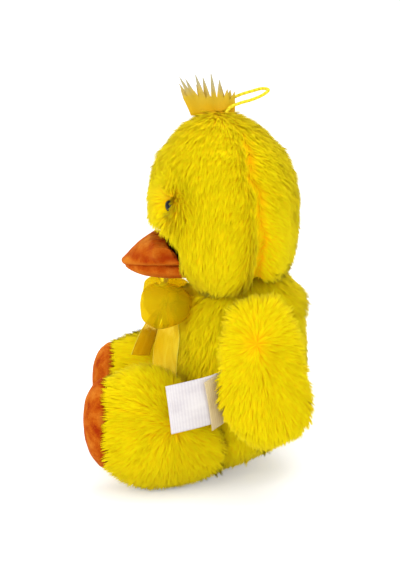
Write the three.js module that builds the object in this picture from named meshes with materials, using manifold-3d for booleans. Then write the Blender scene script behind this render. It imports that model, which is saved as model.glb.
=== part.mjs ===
// A sitting plush duck in long yellow pile, with a stuffed velour beak and soles, a sheer
// ribbon bow, and a stiff fringe and a hanging loop on its crown.
// Millimetres, +Z up. It faces -Y, its own left side is +X, and it sits on the plane Z = 0.
import * as THREE from "three";
import { mergeVertices } from "three/addons/utils/BufferGeometryUtils.js";
import Module from "manifold-3d";

const wasm = await Module();
wasm.setup();

// Clearances
const gap = 0.3; // between pieces that are sewn or laid together
const runningGap = 0.8; // round a piece that moves
const cutOverrun = 40; // how far a cutting shape runs past what it cuts
const weldDistance = 0.0001; // vertices closer than this are one
const seatTrim = 0.5; // how deep each soft underside is cut flat

// Cloth
const pileDepth = 8.5; // long pile of the yellow cloth
const backing = 1.5; // knitted back of the yellow cloth
const coverThick = pileDepth + backing;

// Torso
const torsoLong = 190.5;
const torsoDeep = 118;
const torsoWide = 120;
const neckOpeningRadius = 18;
const neckEase = 4; // room that the head's stuffing leaves over the neck

// Head
const headLong = 162;
const headDeep = 128;
const headWide = 140;
const headUp = 152; // height of its lowest point before the neck is cut out
const headTurnBack = 24; // how far behind the seat the neck turns
const seamDeep = 6.4; // how deep the seam behind each cheek is drawn in, at its deepest
const seamWide = 30; // width of the fold it makes, as far above the cloth as it is deep

// Arms
const armLong = 137;
const armDeep = 84;
const armWide = 44;
const armOut = 78;
const armBack = 40;
const armUp = 39;
const shoulderOut = 50;
const shoulderUp = 160;
const armholeRadius = 12;

// Legs and soles
const legLong = 142;
const legDeep = 109;
const legWide = 66;
const legOut = 50;
const legBack = 35;
const hipBack = 24;
const hipUp = 42;
const soleLong = 21; // length of the foot that the velour sole covers

// Beak
const beakLong = 56;
const beakBack = -20;
const upperBeakDeep = 32.5;
const upperBeakWide = 76;
const lowerBeakDeep = 12;
const lowerBeakWide = 68;
const lipUp = 178; // height of the line between the two halves

// Eyes
const eyeRadius = 5;
const eyeRimThick = 1.2;
const eyeDomeHigh = 2.6;
const eyeShankRadius = 1.6;
const eyeShankLong = 7;
const eyePocketGap = 1.2; // bare ring round the eye at the foot of the pile
const eyeTurn = -53; // degrees round the head from its left side
const eyeUpShare = 0.515;
const washerRadius = 5;
const washerThick = 1.4;

// Fringe on the crown
const tuftLong = 47;
const tuftHigh = 36;
const tuftThick = 1.2;
const tuftFront = -27.6;
const tuftSink = 8; // how far its foot starts below the crown

// Hanging loop
const loopCord = 2.5;
const loopWide = 11.5;
const loopLong = 36;
const loopRise = 18;
const loopRootBack = 10;
const loopSink = 3; // how far its foot starts below the crown
const loopHingeBack = 14;
const loopHingeUp = 315;

// Ribbon
const ribbonWide = 36;
const ribbonThick = 0.8;
const collarThick = 2;
const collarWide = 7;
const collarUp = 150.5;
const knotWide = 18;
const knotDeep = 13;
const knotHigh = 16;
const knotFront = -33.5;
const knotUp = 153;
const bowReach = 43; // how far each bow loop stands out from the knot
const bowDeep = 31;
const bowSag = 8; // how far its outer end hangs below the knot
const bowGather = 9; // ribbon width where it is drawn into the knot
const tailDrop = 62;
const tailGather = 7;

// Labels in the left side seam
const labelThick = 0.5;
const labelSpace = 1.5; // between the two labels
const careLabelHigh = 41;
const careLabelLong = 50;
const careLabelUp = 89;
const careLabelDrop = 9; // how far it slopes down to its front edge
const sizeLabelHigh = 44;
const sizeLabelLong = 28;
const sizeLabelUp = 88;
const sizeLabelDrop = 8;
const labelSeamBack = 14;
const labelSeamOut = 60;
const labelSpread = 36; // how far the care label leans out along its length
const labelBedOverrun = 6;

// How far each joint turns, in degrees
const headTurn = 25;
const armLift = 45;
const legDrop = 10;
const legLift = 15;
const loopFlip = 60;

// How finely the shapes are divided
const bodySides = 20;
const bodyRings = 14;
const limbSides = 16;
const limbRings = 13;
const innerSides = 14;
const innerRings = 10;
const beakSides = 14;
const beakRings = 10;
const roundSides = 14;
const domeSteps = 4;
const cordSides = 6;
const cordSteps = 26;
const ribbonSteps = 14;
const sweepSteps = 4;

// Each row of a soft form: how far along it, then the middle of the ring back and out, and
// the ring's half depth and half width, as shares of the form's length, depth and width.
const torsoShares = [
  [0, 0.008, 0, 0.14, 0.17],
  [0.029, 0.008, 0, 0.203, 0.267],
  [0.066, 0.034, 0, 0.271, 0.35],
  [0.118, 0.131, 0, 0.394, 0.417],
  [0.213, 0.174, 0, 0.47, 0.475],
  [0.349, 0.186, 0, 0.5, 0.5],
  [0.517, 0.195, 0, 0.5, 0.5],
  [0.675, 0.201, 0, 0.481, 0.467],
  [0.79, 0.214, 0, 0.443, 0.408],
  [0.874, 0.229, 0, 0.381, 0.35],
  [0.948, 0.229, 0, 0.28, 0.258],
  [1, 0.229, 0, 0.12, 0.117],
];
const headShares = [
  [0, 0.188, 0, 0.188, 0.186],
  [0.025, 0.172, 0, 0.281, 0.314],
  [0.086, 0.15, 0, 0.36, 0.414],
  [0.185, 0.11, 0, 0.424, 0.471],
  [0.321, 0.078, 0, 0.484, 0.5],
  [0.494, 0.074, 0, 0.5, 0.479],
  [0.667, 0.07, 0, 0.473, 0.421],
  [0.815, 0.059, 0, 0.391, 0.329],
  [0.932, 0.047, 0, 0.258, 0.221],
  [0.981, 0.039, 0, 0.148, 0.136],
  [1, 0.039, 0, 0.055, 0.05],
];
// The seam behind each cheek: how far up the head's rings it is, how far round from the head's
// side to its back, and how deep its fold is, as a share of the deepest.
const seamShares = [
  [0.1, 0.18, 1],
  [0.176, 0.206, 1],
  [0.243, 0.241, 1],
  [0.326, 0.3, 1],
  [0.43, 0.345, 0.85],
  [0.507, 0.3, 0.55],
  [0.57, 0.285, 0.45],
  [0.607, 0.25, 0.45],
  [0.681, 0.271, 0.45],
  [0.75, 0.29, 0.45],
  [0.816, 0.308, 0.45],
  [0.88, 0.345, 0.35],
];
const armShares = [
  [0, 0, 0, 0.071, 0.114],
  [0.036, 0.006, 0.023, 0.179, 0.273],
  [0.109, 0.06, 0.045, 0.333, 0.409],
  [0.212, 0.065, 0.057, 0.452, 0.489],
  [0.336, 0.012, 0.045, 0.5, 0.5],
  [0.474, -0.006, 0.023, 0.458, 0.477],
  [0.62, 0, -0.068, 0.399, 0.432],
  [0.766, -0.006, -0.205, 0.363, 0.386],
  [0.883, -0.042, -0.364, 0.31, 0.33],
  [0.956, -0.048, -0.477, 0.22, 0.261],
  [1, -0.036, -0.545, 0.095, 0.159],
];
const legShares = [
  [0, 0.39, -0.091, 0.073, 0.106],
  [0.056, 0.398, -0.061, 0.174, 0.242],
  [0.162, 0.394, -0.045, 0.265, 0.28],
  [0.317, 0.39, 0, 0.326, 0.356],
  [0.458, 0.455, 0.061, 0.431, 0.455],
  [0.613, 0.5, 0.106, 0.5, 0.5],
  [0.768, 0.51, 0.121, 0.445, 0.492],
  [0.866, 0.527, 0.129, 0.372, 0.462],
  [0.937, 0.541, 0.136, 0.312, 0.394],
  [0.986, 0.555, 0.136, 0.183, 0.242],
  [1, 0.565, 0.136, 0.064, 0.091],
];
const upperBeakShares = [
  [0, 0.492, 0, 0.492, 0.44],
  [0.25, 0.5, 0, 0.5, 0.5],
  [0.464, 0.485, 0, 0.485, 0.475],
  [0.607, 0.415, 0, 0.415, 0.415],
  [0.75, 0.331, 0, 0.331, 0.322],
  [0.893, 0.231, 0, 0.215, 0.203],
  [0.964, 0.169, 0, 0.138, 0.119],
  [1, 0.115, 0, 0.054, 0.051],
];
const lowerBeakShares = [
  [0, -0.15, 0, 0.85, 0.453],
  [0.25, -0.12, 0, 0.83, 0.5],
  [0.464, -0.1, 0, 0.78, 0.462],
  [0.643, -0.1, 0, 0.68, 0.377],
  [0.786, -0.08, 0, 0.43, 0.245],
  [0.875, -0.05, 0, 0.2, 0.113],
];

// The fringe's outline: how far back and up, as shares of its length and height.
const tuftShares = [
  [0.19, 0],
  [0, 0.58],
  [0.1, 0.52],
  [0.07, 0.83],
  [0.16, 0.5],
  [0.22, 0.88],
  [0.28, 0.88],
  [0.37, 0.54],
  [0.43, 0.91],
  [0.47, 0.52],
  [0.56, 0.98],
  [0.6, 0.54],
  [0.67, 0.82],
  [0.8, 0.53],
  [0.86, 0.6],
  [1, 0.05],
];

// The loop's route up one side: out, along and up, as shares of its width, length and rise.
const loopShares = [
  [0.45, 0, 0],
  [0.45, 0.11, 0.36],
  [0.48, 0.33, 0.58],
  [0.5, 0.61, 0.75],
  [0.39, 0.86, 0.92],
  [0, 1, 1],
];

// A bow loop's route out from the knot and back: out, forward, sag and how far it spreads.
const bowShares = [
  [0, 0.07, 0, 0],
  [0.28, 0.42, 0.15, 0.5],
  [0.66, 0.7, 0.9, 0.95],
  [0.96, 0.42, 1, 1],
  [0.92, -0.02, 1, 1],
  [0.6, -0.1, 0.9, 0.95],
  [0.3, -0.09, 0.15, 0.5],
  [0, -0.07, 0, 0],
];

// The ribbon tails' routes down from the knot: out, forward and down as shares of the drop.
const leftTailShares = [
  [0.07, 0.01, 0],
  [0.12, 0.03, 0.15],
  [0.15, 0.06, 0.4],
  [0.14, 0.11, 0.72],
  [0.13, 0.12, 1],
];
const rightTailShares = [
  [-0.07, 0.03, 0],
  [-0.12, 0.2, 0.15],
  [-0.15, 0.32, 0.38],
  [-0.15, 0.4, 0.6],
  [-0.14, 0.47, 0.8],
];
const tailSpreadShares = [0, 0.3, 0.85, 1, 1];
const leftTailTwist = 25;
const rightTailTwist = -22;

// The labels' route forward from the seam: out and forward as shares of spread and length.
const labelShares = [
  [0, 0],
  [0.4, 0.2],
  [0.8, 0.5],
  [1, 1],
];

// Materials
const pileYellow = new THREE.MeshStandardMaterial({ color: 0xf2d400, roughness: 0.95 });
const velourOrange = new THREE.MeshStandardMaterial({ color: 0xc8670c, roughness: 0.85 });
const fibreWhite = new THREE.MeshStandardMaterial({ color: 0xf2f0ea, roughness: 1 });
const eyeBlack = new THREE.MeshStandardMaterial({ color: 0x101010, roughness: 0.15 });
const washerWhite = new THREE.MeshStandardMaterial({ color: 0xe4e2da, roughness: 0.5 });
const ribbonGold = new THREE.MeshStandardMaterial({ color: 0xd4ae08, roughness: 0.5 });
const fringeGold = new THREE.MeshStandardMaterial({ color: 0xd9b010, roughness: 0.6 });
const cordYellow = new THREE.MeshStandardMaterial({ color: 0xdccb10, roughness: 0.5 });
const labelWhite = new THREE.MeshStandardMaterial({ color: 0xede8e6, roughness: 0.7 });
const labelCream = new THREE.MeshStandardMaterial({ color: 0xe3d3a8, roughness: 0.7 });

// Closes a run of rings, each a list of points, with a fan over both ends.
function loft(rings) {
  const sides = rings[0].length;
  const points = rings.flat();
  const ends = [rings[0], rings[rings.length - 1]].map((ring) => {
    const middle = new THREE.Vector3();
    ring.forEach((point) => middle.add(point));
    return middle.divideScalar(sides);
  });
  const foot = points.length;
  const top = foot + 1;
  const lastRing = foot - sides;
  const index = [];
  for (let side = 0; side < sides; side++) {
    const next = (side + 1) % sides;
    index.push(foot, next, side);
    index.push(top, lastRing + side, lastRing + next);
    for (let ring = 0; ring < lastRing; ring += sides) {
      index.push(ring + side, ring + next, ring + sides + next);
      index.push(ring + side, ring + sides + next, ring + sides + side);
    }
  }
  const geometry = new THREE.BufferGeometry().setFromPoints([...points, ...ends]);
  geometry.setIndex(index);
  return geometry;
}

// The middle and the half sizes of a soft form's ring, drawn in from its surface by inset.
function ringOf(form, t, inset) {
  const [back, out, deep, wide] = [1, 2, 3, 4].map((column) => {
    const places = form.shares.map((row) => new THREE.Vector2(row[0], row[column]));
    return new THREE.SplineCurve(places).getPoint(t);
  });
  const along = inset + back.x * (form.long - 2 * inset);
  return {
    middle: new THREE.Vector3(out.y * form.wide, back.y * form.deep, along),
    halfDeep: Math.max(deep.y * form.deep - inset, backing),
    halfWide: Math.max(wide.y * form.wide - inset, backing),
  };
}

// A point of a ring, by its angle from +X.
function pointOn(ring, angle) {
  const across = Math.cos(angle) * ring.halfWide;
  const back = Math.sin(angle) * ring.halfDeep;
  return new THREE.Vector3(across, back, 0).add(ring.middle);
}

// A soft form's solid, drawn in by inset or, where that is negative, let out.
function swell(form, inset, sides, rings) {
  const rows = Array.from({ length: rings }, (_, row) => {
    const ring = ringOf(form, row / (rings - 1), inset);
    return Array.from({ length: sides }, (_, side) => pointOn(ring, (side / sides) * 2 * Math.PI));
  });
  return solidOf(loft(rows).applyMatrix4(form.place));
}

function solidOf(geometry) {
  const bare = geometry.clone();
  bare.deleteAttribute("normal");
  bare.deleteAttribute("uv");
  const merged = mergeVertices(bare, weldDistance);
  const mesh = new wasm.Mesh({
    numProp: 3,
    vertProperties: merged.attributes.position.array,
    triVerts: new Uint32Array(merged.index.array),
  });
  return new wasm.Manifold(mesh);
}

function geometryOf(solid) {
  const mesh = solid.getMesh();
  const geometry = new THREE.BufferGeometry();
  geometry.setAttribute("position", new THREE.BufferAttribute(mesh.vertProperties, 3));
  geometry.setIndex(new THREE.BufferAttribute(mesh.triVerts, 1));
  return geometry;
}

function box(wide, deep, high, x, y, z) {
  return solidOf(new THREE.BoxGeometry(wide, deep, high).translate(x, y, z));
}

// A solid turned about an axis through a point, by an angle in degrees.
function turned(solid, point, axis, degrees) {
  const turn = new THREE.Matrix4().makeRotationAxis(axis, THREE.MathUtils.degToRad(degrees));
  const geometry = geometryOf(solid).translate(-point.x, -point.y, -point.z);
  return solidOf(geometry.applyMatrix4(turn).translate(point.x, point.y, point.z));
}

// What a solid covers as it turns about an axis from one angle to another.
function swept(solid, joint, from, to) {
  let all = solid;
  for (let step = 0; step <= sweepSteps; step++) {
    const degrees = from + ((to - from) * step) / sweepSteps;
    if (degrees !== 0) all = all.add(turned(solid, joint.point, joint.axis, degrees));
  }
  return all;
}

// The same solid on the other side of the duck.
function mirrored(solid) {
  const geometry = geometryOf(solid).scale(-1, 1, 1);
  const index = geometry.index.array;
  for (let face = 0; face < index.length; face += 3) {
    [index[face + 1], index[face + 2]] = [index[face + 2], index[face + 1]];
  }
  return solidOf(geometry);
}

// A strip of ribbon along a route, with its width and its across direction at each point.
function strip(route, widths, acrosses, thick) {
  const curve = new THREE.CatmullRomCurve3(route);
  const rings = Array.from({ length: ribbonSteps + 1 }, (_, step) => {
    const t = step / ribbonSteps;
    const tangent = curve.getTangent(t);
    const place = t * (route.length - 1);
    const row = Math.min(Math.floor(place), route.length - 2);
    const width = THREE.MathUtils.lerp(widths[row], widths[row + 1], place - row);
    const across = acrosses[row].clone().lerp(acrosses[row + 1], place - row);
    across.addScaledVector(tangent, -across.dot(tangent)).setLength(width / 2);
    const face = tangent.clone().cross(across).setLength(thick / 2);
    const corners = [[1, 1], [-1, 1], [-1, -1], [1, -1]];
    return corners.map(([a, f]) => {
      return curve.getPoint(t).addScaledVector(across, a).addScaledVector(face, f);
    });
  });
  return solidOf(loft(rings));
}

const upright = new THREE.Vector3(0, 0, 1);
const sideways = new THREE.Vector3(1, 0, 0);
const forward = new THREE.Vector3(0, -1, 0);

// Where the moving pieces turn
const neck = { point: new THREE.Vector3(0, headTurnBack, 0), axis: upright };
const shoulder = { point: new THREE.Vector3(shoulderOut, 0, shoulderUp), axis: forward };
const hip = { point: new THREE.Vector3(0, hipBack, hipUp), axis: sideways.clone().negate() };
const loopHinge = { point: new THREE.Vector3(0, loopHingeBack, loopHingeUp), axis: sideways };

// The soft forms. Those of the arm and the leg are the left ones.
const forwardPlace = new THREE.Matrix4().makeBasis(sideways, upright, forward);
const torsoForm = {
  long: torsoLong,
  deep: torsoDeep,
  wide: torsoWide,
  shares: torsoShares,
  place: new THREE.Matrix4().makeTranslation(0, 0, -seatTrim),
};
const headForm = {
  long: headLong,
  deep: headDeep,
  wide: headWide,
  shares: headShares,
  place: new THREE.Matrix4().makeTranslation(0, 0, headUp),
};
const armForm = {
  long: armLong,
  deep: armDeep,
  wide: armWide,
  shares: armShares,
  place: new THREE.Matrix4().makeTranslation(armOut, armBack, armUp),
};
const legForm = {
  long: legLong,
  deep: legDeep,
  wide: legWide,
  shares: legShares,
  place: new THREE.Matrix4().makeTranslation(legOut, legBack, -seatTrim).multiply(forwardPlace),
};
const beakPlace = new THREE.Matrix4().makeTranslation(0, beakBack, lipUp).multiply(forwardPlace);
const upperBeakForm = {
  long: beakLong,
  deep: upperBeakDeep,
  wide: upperBeakWide,
  shares: upperBeakShares,
  place: beakPlace,
};
const lowerBeakForm = {
  long: beakLong,
  deep: lowerBeakDeep,
  wide: lowerBeakWide,
  shares: lowerBeakShares,
  place: beakPlace,
};

const farReach = torsoLong + headLong;
const underFloor = box(farReach, farReach, cutOverrun, 0, 0, -cutOverrun / 2);

// Torso: a pile cover that is open at the neck, round a stuffing of loose fibre.
const torsoOuter = swell(torsoForm, 0, bodySides, bodyRings).subtract(underFloor);
const torsoClear = swell(torsoForm, -gap, bodySides, bodyRings);
const torsoRunning = swell(torsoForm, -runningGap, bodySides, bodyRings);
const neckOpening = solidOf(
  new THREE.CylinderGeometry(neckOpeningRadius, neckOpeningRadius, cutOverrun, roundSides)
    .rotateX(Math.PI / 2)
    .translate(0, headTurnBack, torsoLong),
);
const torsoCover = torsoOuter
  .subtract(swell(torsoForm, coverThick, innerSides, innerRings))
  .subtract(neckOpening);
const torsoStuffing = swell(torsoForm, coverThick + gap, innerSides, innerRings);

// Collar: the drawn-in neck ribbon that lies in the fold under the head.
function collarBand(thick, spare) {
  const high = collarWide + 2 * spare;
  const slab = box(farReach, farReach, high, 0, 0, collarUp + collarWide / 2);
  return swell(torsoForm, -thick, bodySides, bodyRings).intersect(slab);
}
const neckRibbon = collarBand(collarThick + gap, 0).subtract(torsoClear);
const collarClear = collarBand(collarThick + 2 * gap, gap);

// Head: a pile cover that is open where it is sewn round the neck, over its stuffing.
const neckRoom = swept(torsoRunning, neck, -headTurn, headTurn);
const headOuter = swell(headForm, 0, bodySides, bodyRings).subtract(neckRoom);
const headClear = swell(headForm, -gap, bodySides, bodyRings);

// An eye has a dome and a shank. Its profile is turned about +Y, which faces outwards.
function turnedProfile(points) {
  const outline = points.map(([radius, height]) => new THREE.Vector2(radius, height));
  return new THREE.LatheGeometry(outline, roundSides);
}
const dome = Array.from({ length: domeSteps + 1 }, (_, step) => {
  const angle = (step / domeSteps) * (Math.PI / 2);
  const rise = eyeRimThick + Math.sin(angle) * eyeDomeHigh;
  return step === domeSteps ? [0, rise] : [Math.cos(angle) * eyeRadius, rise];
});
const eyeProfile = turnedProfile([
  [0, -eyeShankLong],
  [eyeShankRadius, -eyeShankLong],
  [eyeShankRadius, 0],
  [eyeRadius, 0],
  ...dome,
]);
const eyePocketProfile = turnedProfile([
  [0, -eyeShankLong - gap],
  [eyeShankRadius + gap, -eyeShankLong - gap],
  [eyeShankRadius + gap, -gap],
  [eyeRadius + eyePocketGap, -gap],
  [eyeRadius + eyePocketGap, cutOverrun],
  [0, cutOverrun],
]);
const washerTop = -gap - backing - 2 * gap;
const washerProfile = turnedProfile([
  [eyeShankRadius + gap, washerTop - washerThick],
  [washerRadius, washerTop - washerThick],
  [washerRadius, washerTop],
  [eyeShankRadius + gap, washerTop],
  [eyeShankRadius + gap, washerTop - washerThick],
]);
const washerPocketProfile = (top) => turnedProfile([
  [0, -eyeShankLong - 2 * gap],
  [washerRadius + gap, -eyeShankLong - 2 * gap],
  [washerRadius + gap, top],
  [0, top],
]);
const eyeAngle = THREE.MathUtils.degToRad(eyeTurn);
const eyeSeat = pointOn(ringOf(headForm, eyeUpShare, pileDepth - gap), eyeAngle);
eyeSeat.applyMatrix4(headForm.place);
const eyeFacing = Math.atan2(
  Math.sin(eyeAngle) * headWide,
  Math.cos(eyeAngle) * headDeep,
);
function atEye(geometry) {
  const placed = geometry.clone().rotateZ(eyeFacing - Math.PI / 2);
  return solidOf(placed.translate(eyeSeat.x, eyeSeat.y, eyeSeat.z));
}
const leftEye = atEye(eyeProfile);
const leftWasher = atEye(washerProfile);
const eyePocket = atEye(eyePocketProfile);
const washerSeat = atEye(washerPocketProfile(washerTop + gap));
const washerPocket = atEye(washerPocketProfile(cutOverrun));

// The fold behind the left cheek, a wedge that follows the seam.
const seamPoints = seamShares.map(([up, round]) => onHead(up, round, 0));
function onHead(up, round, inset) {
  return pointOn(ringOf(headForm, up, inset), (round * Math.PI) / 2);
}
const seamCurve = new THREE.CatmullRomCurve3(seamPoints);
const seamRings = seamShares.map(([up, round, deep], row) => {
  const foot = onHead(up, round, deep * seamDeep);
  const rim = onHead(up, round, -seamDeep);
  const along = seamCurve.getTangent(row / (seamShares.length - 1));
  const across = along.cross(rim.clone().sub(foot)).setLength(seamWide / 2);
  return [foot, rim.clone().sub(across), rim.clone().add(across)];
});
const seamFold = solidOf(loft(seamRings).applyMatrix4(headForm.place));

const headCover = headOuter
  .subtract(swell(headForm, coverThick, innerSides, innerRings))
  .subtract(eyePocket.add(washerSeat).add(seamFold))
  .subtract(mirrored(eyePocket.add(washerSeat).add(seamFold)));
const headStuffing = swell(headForm, coverThick + gap, innerSides, innerRings)
  .subtract(swell(torsoForm, -neckEase, innerSides, innerRings))
  .subtract(washerPocket)
  .subtract(mirrored(washerPocket));

// Beak: two stuffed velour halves, sewn to the face.
const upperBeak = swell(upperBeakForm, 0, beakSides, beakRings).subtract(headClear);
const lowerBeak = swell(lowerBeakForm, 0, beakSides, beakRings)
  .subtract(headClear)
  .subtract(swell(upperBeakForm, -gap, beakSides, beakRings));

// Leg: a pile cover and its stuffing end at the sole, a stuffed velour pad.
const legRoom = swept(torsoRunning, hip, -legLift, legDrop);
const legOuter = swell(legForm, 0, limbSides, limbRings).subtract(underFloor);
const soleFront = legBack - legLong;
const footPart = (reach) => {
  return box(farReach, cutOverrun, farReach, 0, soleFront + reach - cutOverrun / 2, 0);
};
const footCut = footPart(soleLong);
const legCover = legOuter
  .subtract(footCut)
  .subtract(swell(legForm, coverThick, innerSides, innerRings))
  .subtract(legRoom);
const legStuffing = swell(legForm, coverThick + gap, innerSides, innerRings)
  .subtract(footCut)
  .subtract(legRoom);
const sole = legOuter.intersect(footPart(soleLong - gap));

// Labels: two woven labels in the left side seam, which lie between the arm and the leg.
const labelPoints = labelShares.map(([out, ahead]) => {
  const place = new THREE.Vector3(out * labelSpread, -ahead * careLabelLong, 0);
  return place.add(new THREE.Vector3(labelSeamOut, labelSeamBack, 0));
});
const labelCurve = new THREE.CatmullRomCurve3(labelPoints);
function labelRoute(long, offset, up, drop) {
  return labelShares.map(([, ahead]) => {
    const share = (ahead * long) / careLabelLong;
    const outwards = labelCurve.getTangent(share).cross(upright).negate();
    const place = labelCurve.getPoint(share).addScaledVector(outwards, offset);
    return place.addScaledVector(upright, up - ahead * drop);
  });
}
function label(route, high) {
  const same = (value) => route.map(() => value);
  return strip(route, same(high), same(upright), labelThick).subtract(torsoClear);
}
const careOffset = labelThick + gap;
const sizeOffset = careOffset + labelThick + labelSpace;
const careRoute = labelRoute(careLabelLong, careOffset, careLabelUp, careLabelDrop);
const sizeRoute = labelRoute(sizeLabelLong, sizeOffset, sizeLabelUp, sizeLabelDrop);
const careLabel = label(careRoute, careLabelHigh);
const sizeLabel = label(sizeRoute, sizeLabelHigh);

// The room that the labels and the leg beneath them take from the left arm.
const bedOutline = new THREE.Shape();
bedOutline.moveTo(0, labelSeamBack + labelBedOverrun);
bedOutline.lineTo(labelSeamOut + careOffset, labelSeamBack + labelBedOverrun);
labelRoute(careLabelLong, sizeOffset + labelSpace, 0, 0).forEach((point) => {
  bedOutline.lineTo(point.x, point.y);
});
bedOutline.lineTo(0, labelSeamBack - careLabelLong);
const bedHigh = careLabelHigh + careLabelDrop + 2 * labelBedOverrun;
const labelBed = solidOf(
  new THREE.ExtrudeGeometry(bedOutline, { depth: bedHigh, bevelEnabled: false })
    .translate(0, 0, careLabelUp - careLabelDrop / 2 - bedHigh / 2),
);

// Arm: a pile cover with a sewn armhole, round its stuffing. It lifts away from the side.
const headRoom = swept(swell(headForm, -runningGap, bodySides, bodyRings), neck, -headTurn, headTurn);
const legSweep = swept(swell(legForm, -runningGap, limbSides, limbRings), hip, -legDrop, legLift);
const besideArm = torsoRunning.add(headRoom).add(legSweep).add(collarClear);
const armOuter = swell(armForm, 0, limbSides, limbRings);
const armhole = solidOf(
  new THREE.CylinderGeometry(armholeRadius, armholeRadius, cutOverrun, roundSides)
    .rotateZ(Math.PI / 2)
    .translate(shoulderOut, armBack, shoulderUp - 2 * armholeRadius),
);
function armPieces(beside) {
  const room = swept(beside, shoulder, -armLift, 0);
  const cover = armOuter
    .subtract(swell(armForm, coverThick, innerSides, innerRings))
    .subtract(armhole)
    .subtract(room);
  const stuffing = swell(armForm, coverThick + gap, innerSides, innerRings).subtract(room);
  return { cover, stuffing };
}
const leftArm = armPieces(besideArm.add(labelBed));
const rightArm = armPieces(besideArm);

// Fringe: a stiff sheet cut into points, sewn into the crown's seam.
const crownUp = headUp + headLong;
const tuftOutline = new THREE.Shape(
  tuftShares.map(([back, up]) => new THREE.Vector2(back * tuftLong, up * tuftHigh)),
);
const headTuft = solidOf(
  new THREE.ExtrudeGeometry(tuftOutline, { depth: tuftThick, bevelEnabled: false })
    .translate(tuftFront, 0, -tuftThick / 2)
    .rotateX(Math.PI / 2)
    .rotateZ(Math.PI / 2)
    .translate(0, 0, crownUp - tuftSink),
).subtract(headClear);

// Hanging loop: a woven cord, out of the crown and back into it.
const loopSide = loopShares.map(([out, along, up]) => {
  const back = loopRootBack + along * loopLong;
  return new THREE.Vector3(out * loopWide, back, crownUp - loopSink + up * loopRise);
});
const otherSide = loopSide.slice(0, -1).reverse().map((point) => {
  return point.clone().multiply(new THREE.Vector3(-1, 1, 1));
});
const loopCurve = new THREE.CatmullRomCurve3([...loopSide, ...otherSide]);
const cordSection = new THREE.Shape(
  Array.from({ length: cordSides }, (_, side) => {
    const angle = (side / cordSides) * 2 * Math.PI;
    return new THREE.Vector2(Math.cos(angle), Math.sin(angle)).multiplyScalar(loopCord / 2);
  }),
);
const loopRoom = swept(headClear, loopHinge, -loopFlip, 0);
const hangingLoop = solidOf(
  new THREE.ExtrudeGeometry(cordSection, { steps: cordSteps, extrudePath: loopCurve }),
).subtract(loopRoom);

// Bow: a knot at the throat, two puffed loops and two cut tails.
const knotPlace = new THREE.Vector3(0, knotFront, knotUp);
function knotShape(spare) {
  const ball = new THREE.SphereGeometry(1, roundSides, roundSides / 2);
  ball.scale(knotWide / 2 + spare, knotDeep / 2 + spare, knotHigh / 2 + spare);
  return solidOf(ball.translate(knotPlace.x, knotPlace.y, knotPlace.z));
}
const bowKnot = knotShape(0).subtract(torsoClear).subtract(collarClear);
const knotClear = knotShape(gap);
const bowRoute = bowShares.map(([out, ahead, sag]) => {
  const far = knotWide / 4 + out * (bowReach + knotWide / 4);
  return new THREE.Vector3(far, -ahead * bowDeep, -sag * bowSag).add(knotPlace);
});
const bowWidths = bowShares.map((row) => THREE.MathUtils.lerp(bowGather, ribbonWide, row[3]));
const bowAcross = bowShares.map(() => upright);
const bowLoop = strip(bowRoute, bowWidths, bowAcross, ribbonThick)
  .subtract(knotClear)
  .subtract(torsoClear.add(collarClear));

function tail(shares, twist) {
  const route = shares.map(([out, ahead, down]) => {
    const place = new THREE.Vector3(out * tailDrop, -ahead * tailDrop, -down * tailDrop);
    return place.add(knotPlace).add(new THREE.Vector3(0, 0, gap - knotHigh / 2));
  });
  const widths = tailSpreadShares.map((spread) => THREE.MathUtils.lerp(tailGather, ribbonWide, spread));
  const across = sideways.clone().applyAxisAngle(upright, THREE.MathUtils.degToRad(twist));
  return strip(route, widths, shares.map(() => across), ribbonThick)
    .subtract(knotClear)
    .subtract(torsoClear);
}
const leftTail = tail(leftTailShares, leftTailTwist);
const rightTail = tail(rightTailShares, rightTailTwist);

// Each body is a group at the point that it turns about, and holds its own pieces.
function body(point, pieces) {
  const group = new THREE.Group();
  group.position.copy(point);
  for (const [name, solid, material] of pieces) {
    const geometry = geometryOf(solid).translate(-point.x, -point.y, -point.z);
    geometry.computeVertexNormals();
    const mesh = new THREE.Mesh(geometry, material);
    mesh.name = name;
    group.add(mesh);
  }
  return group;
}

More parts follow.
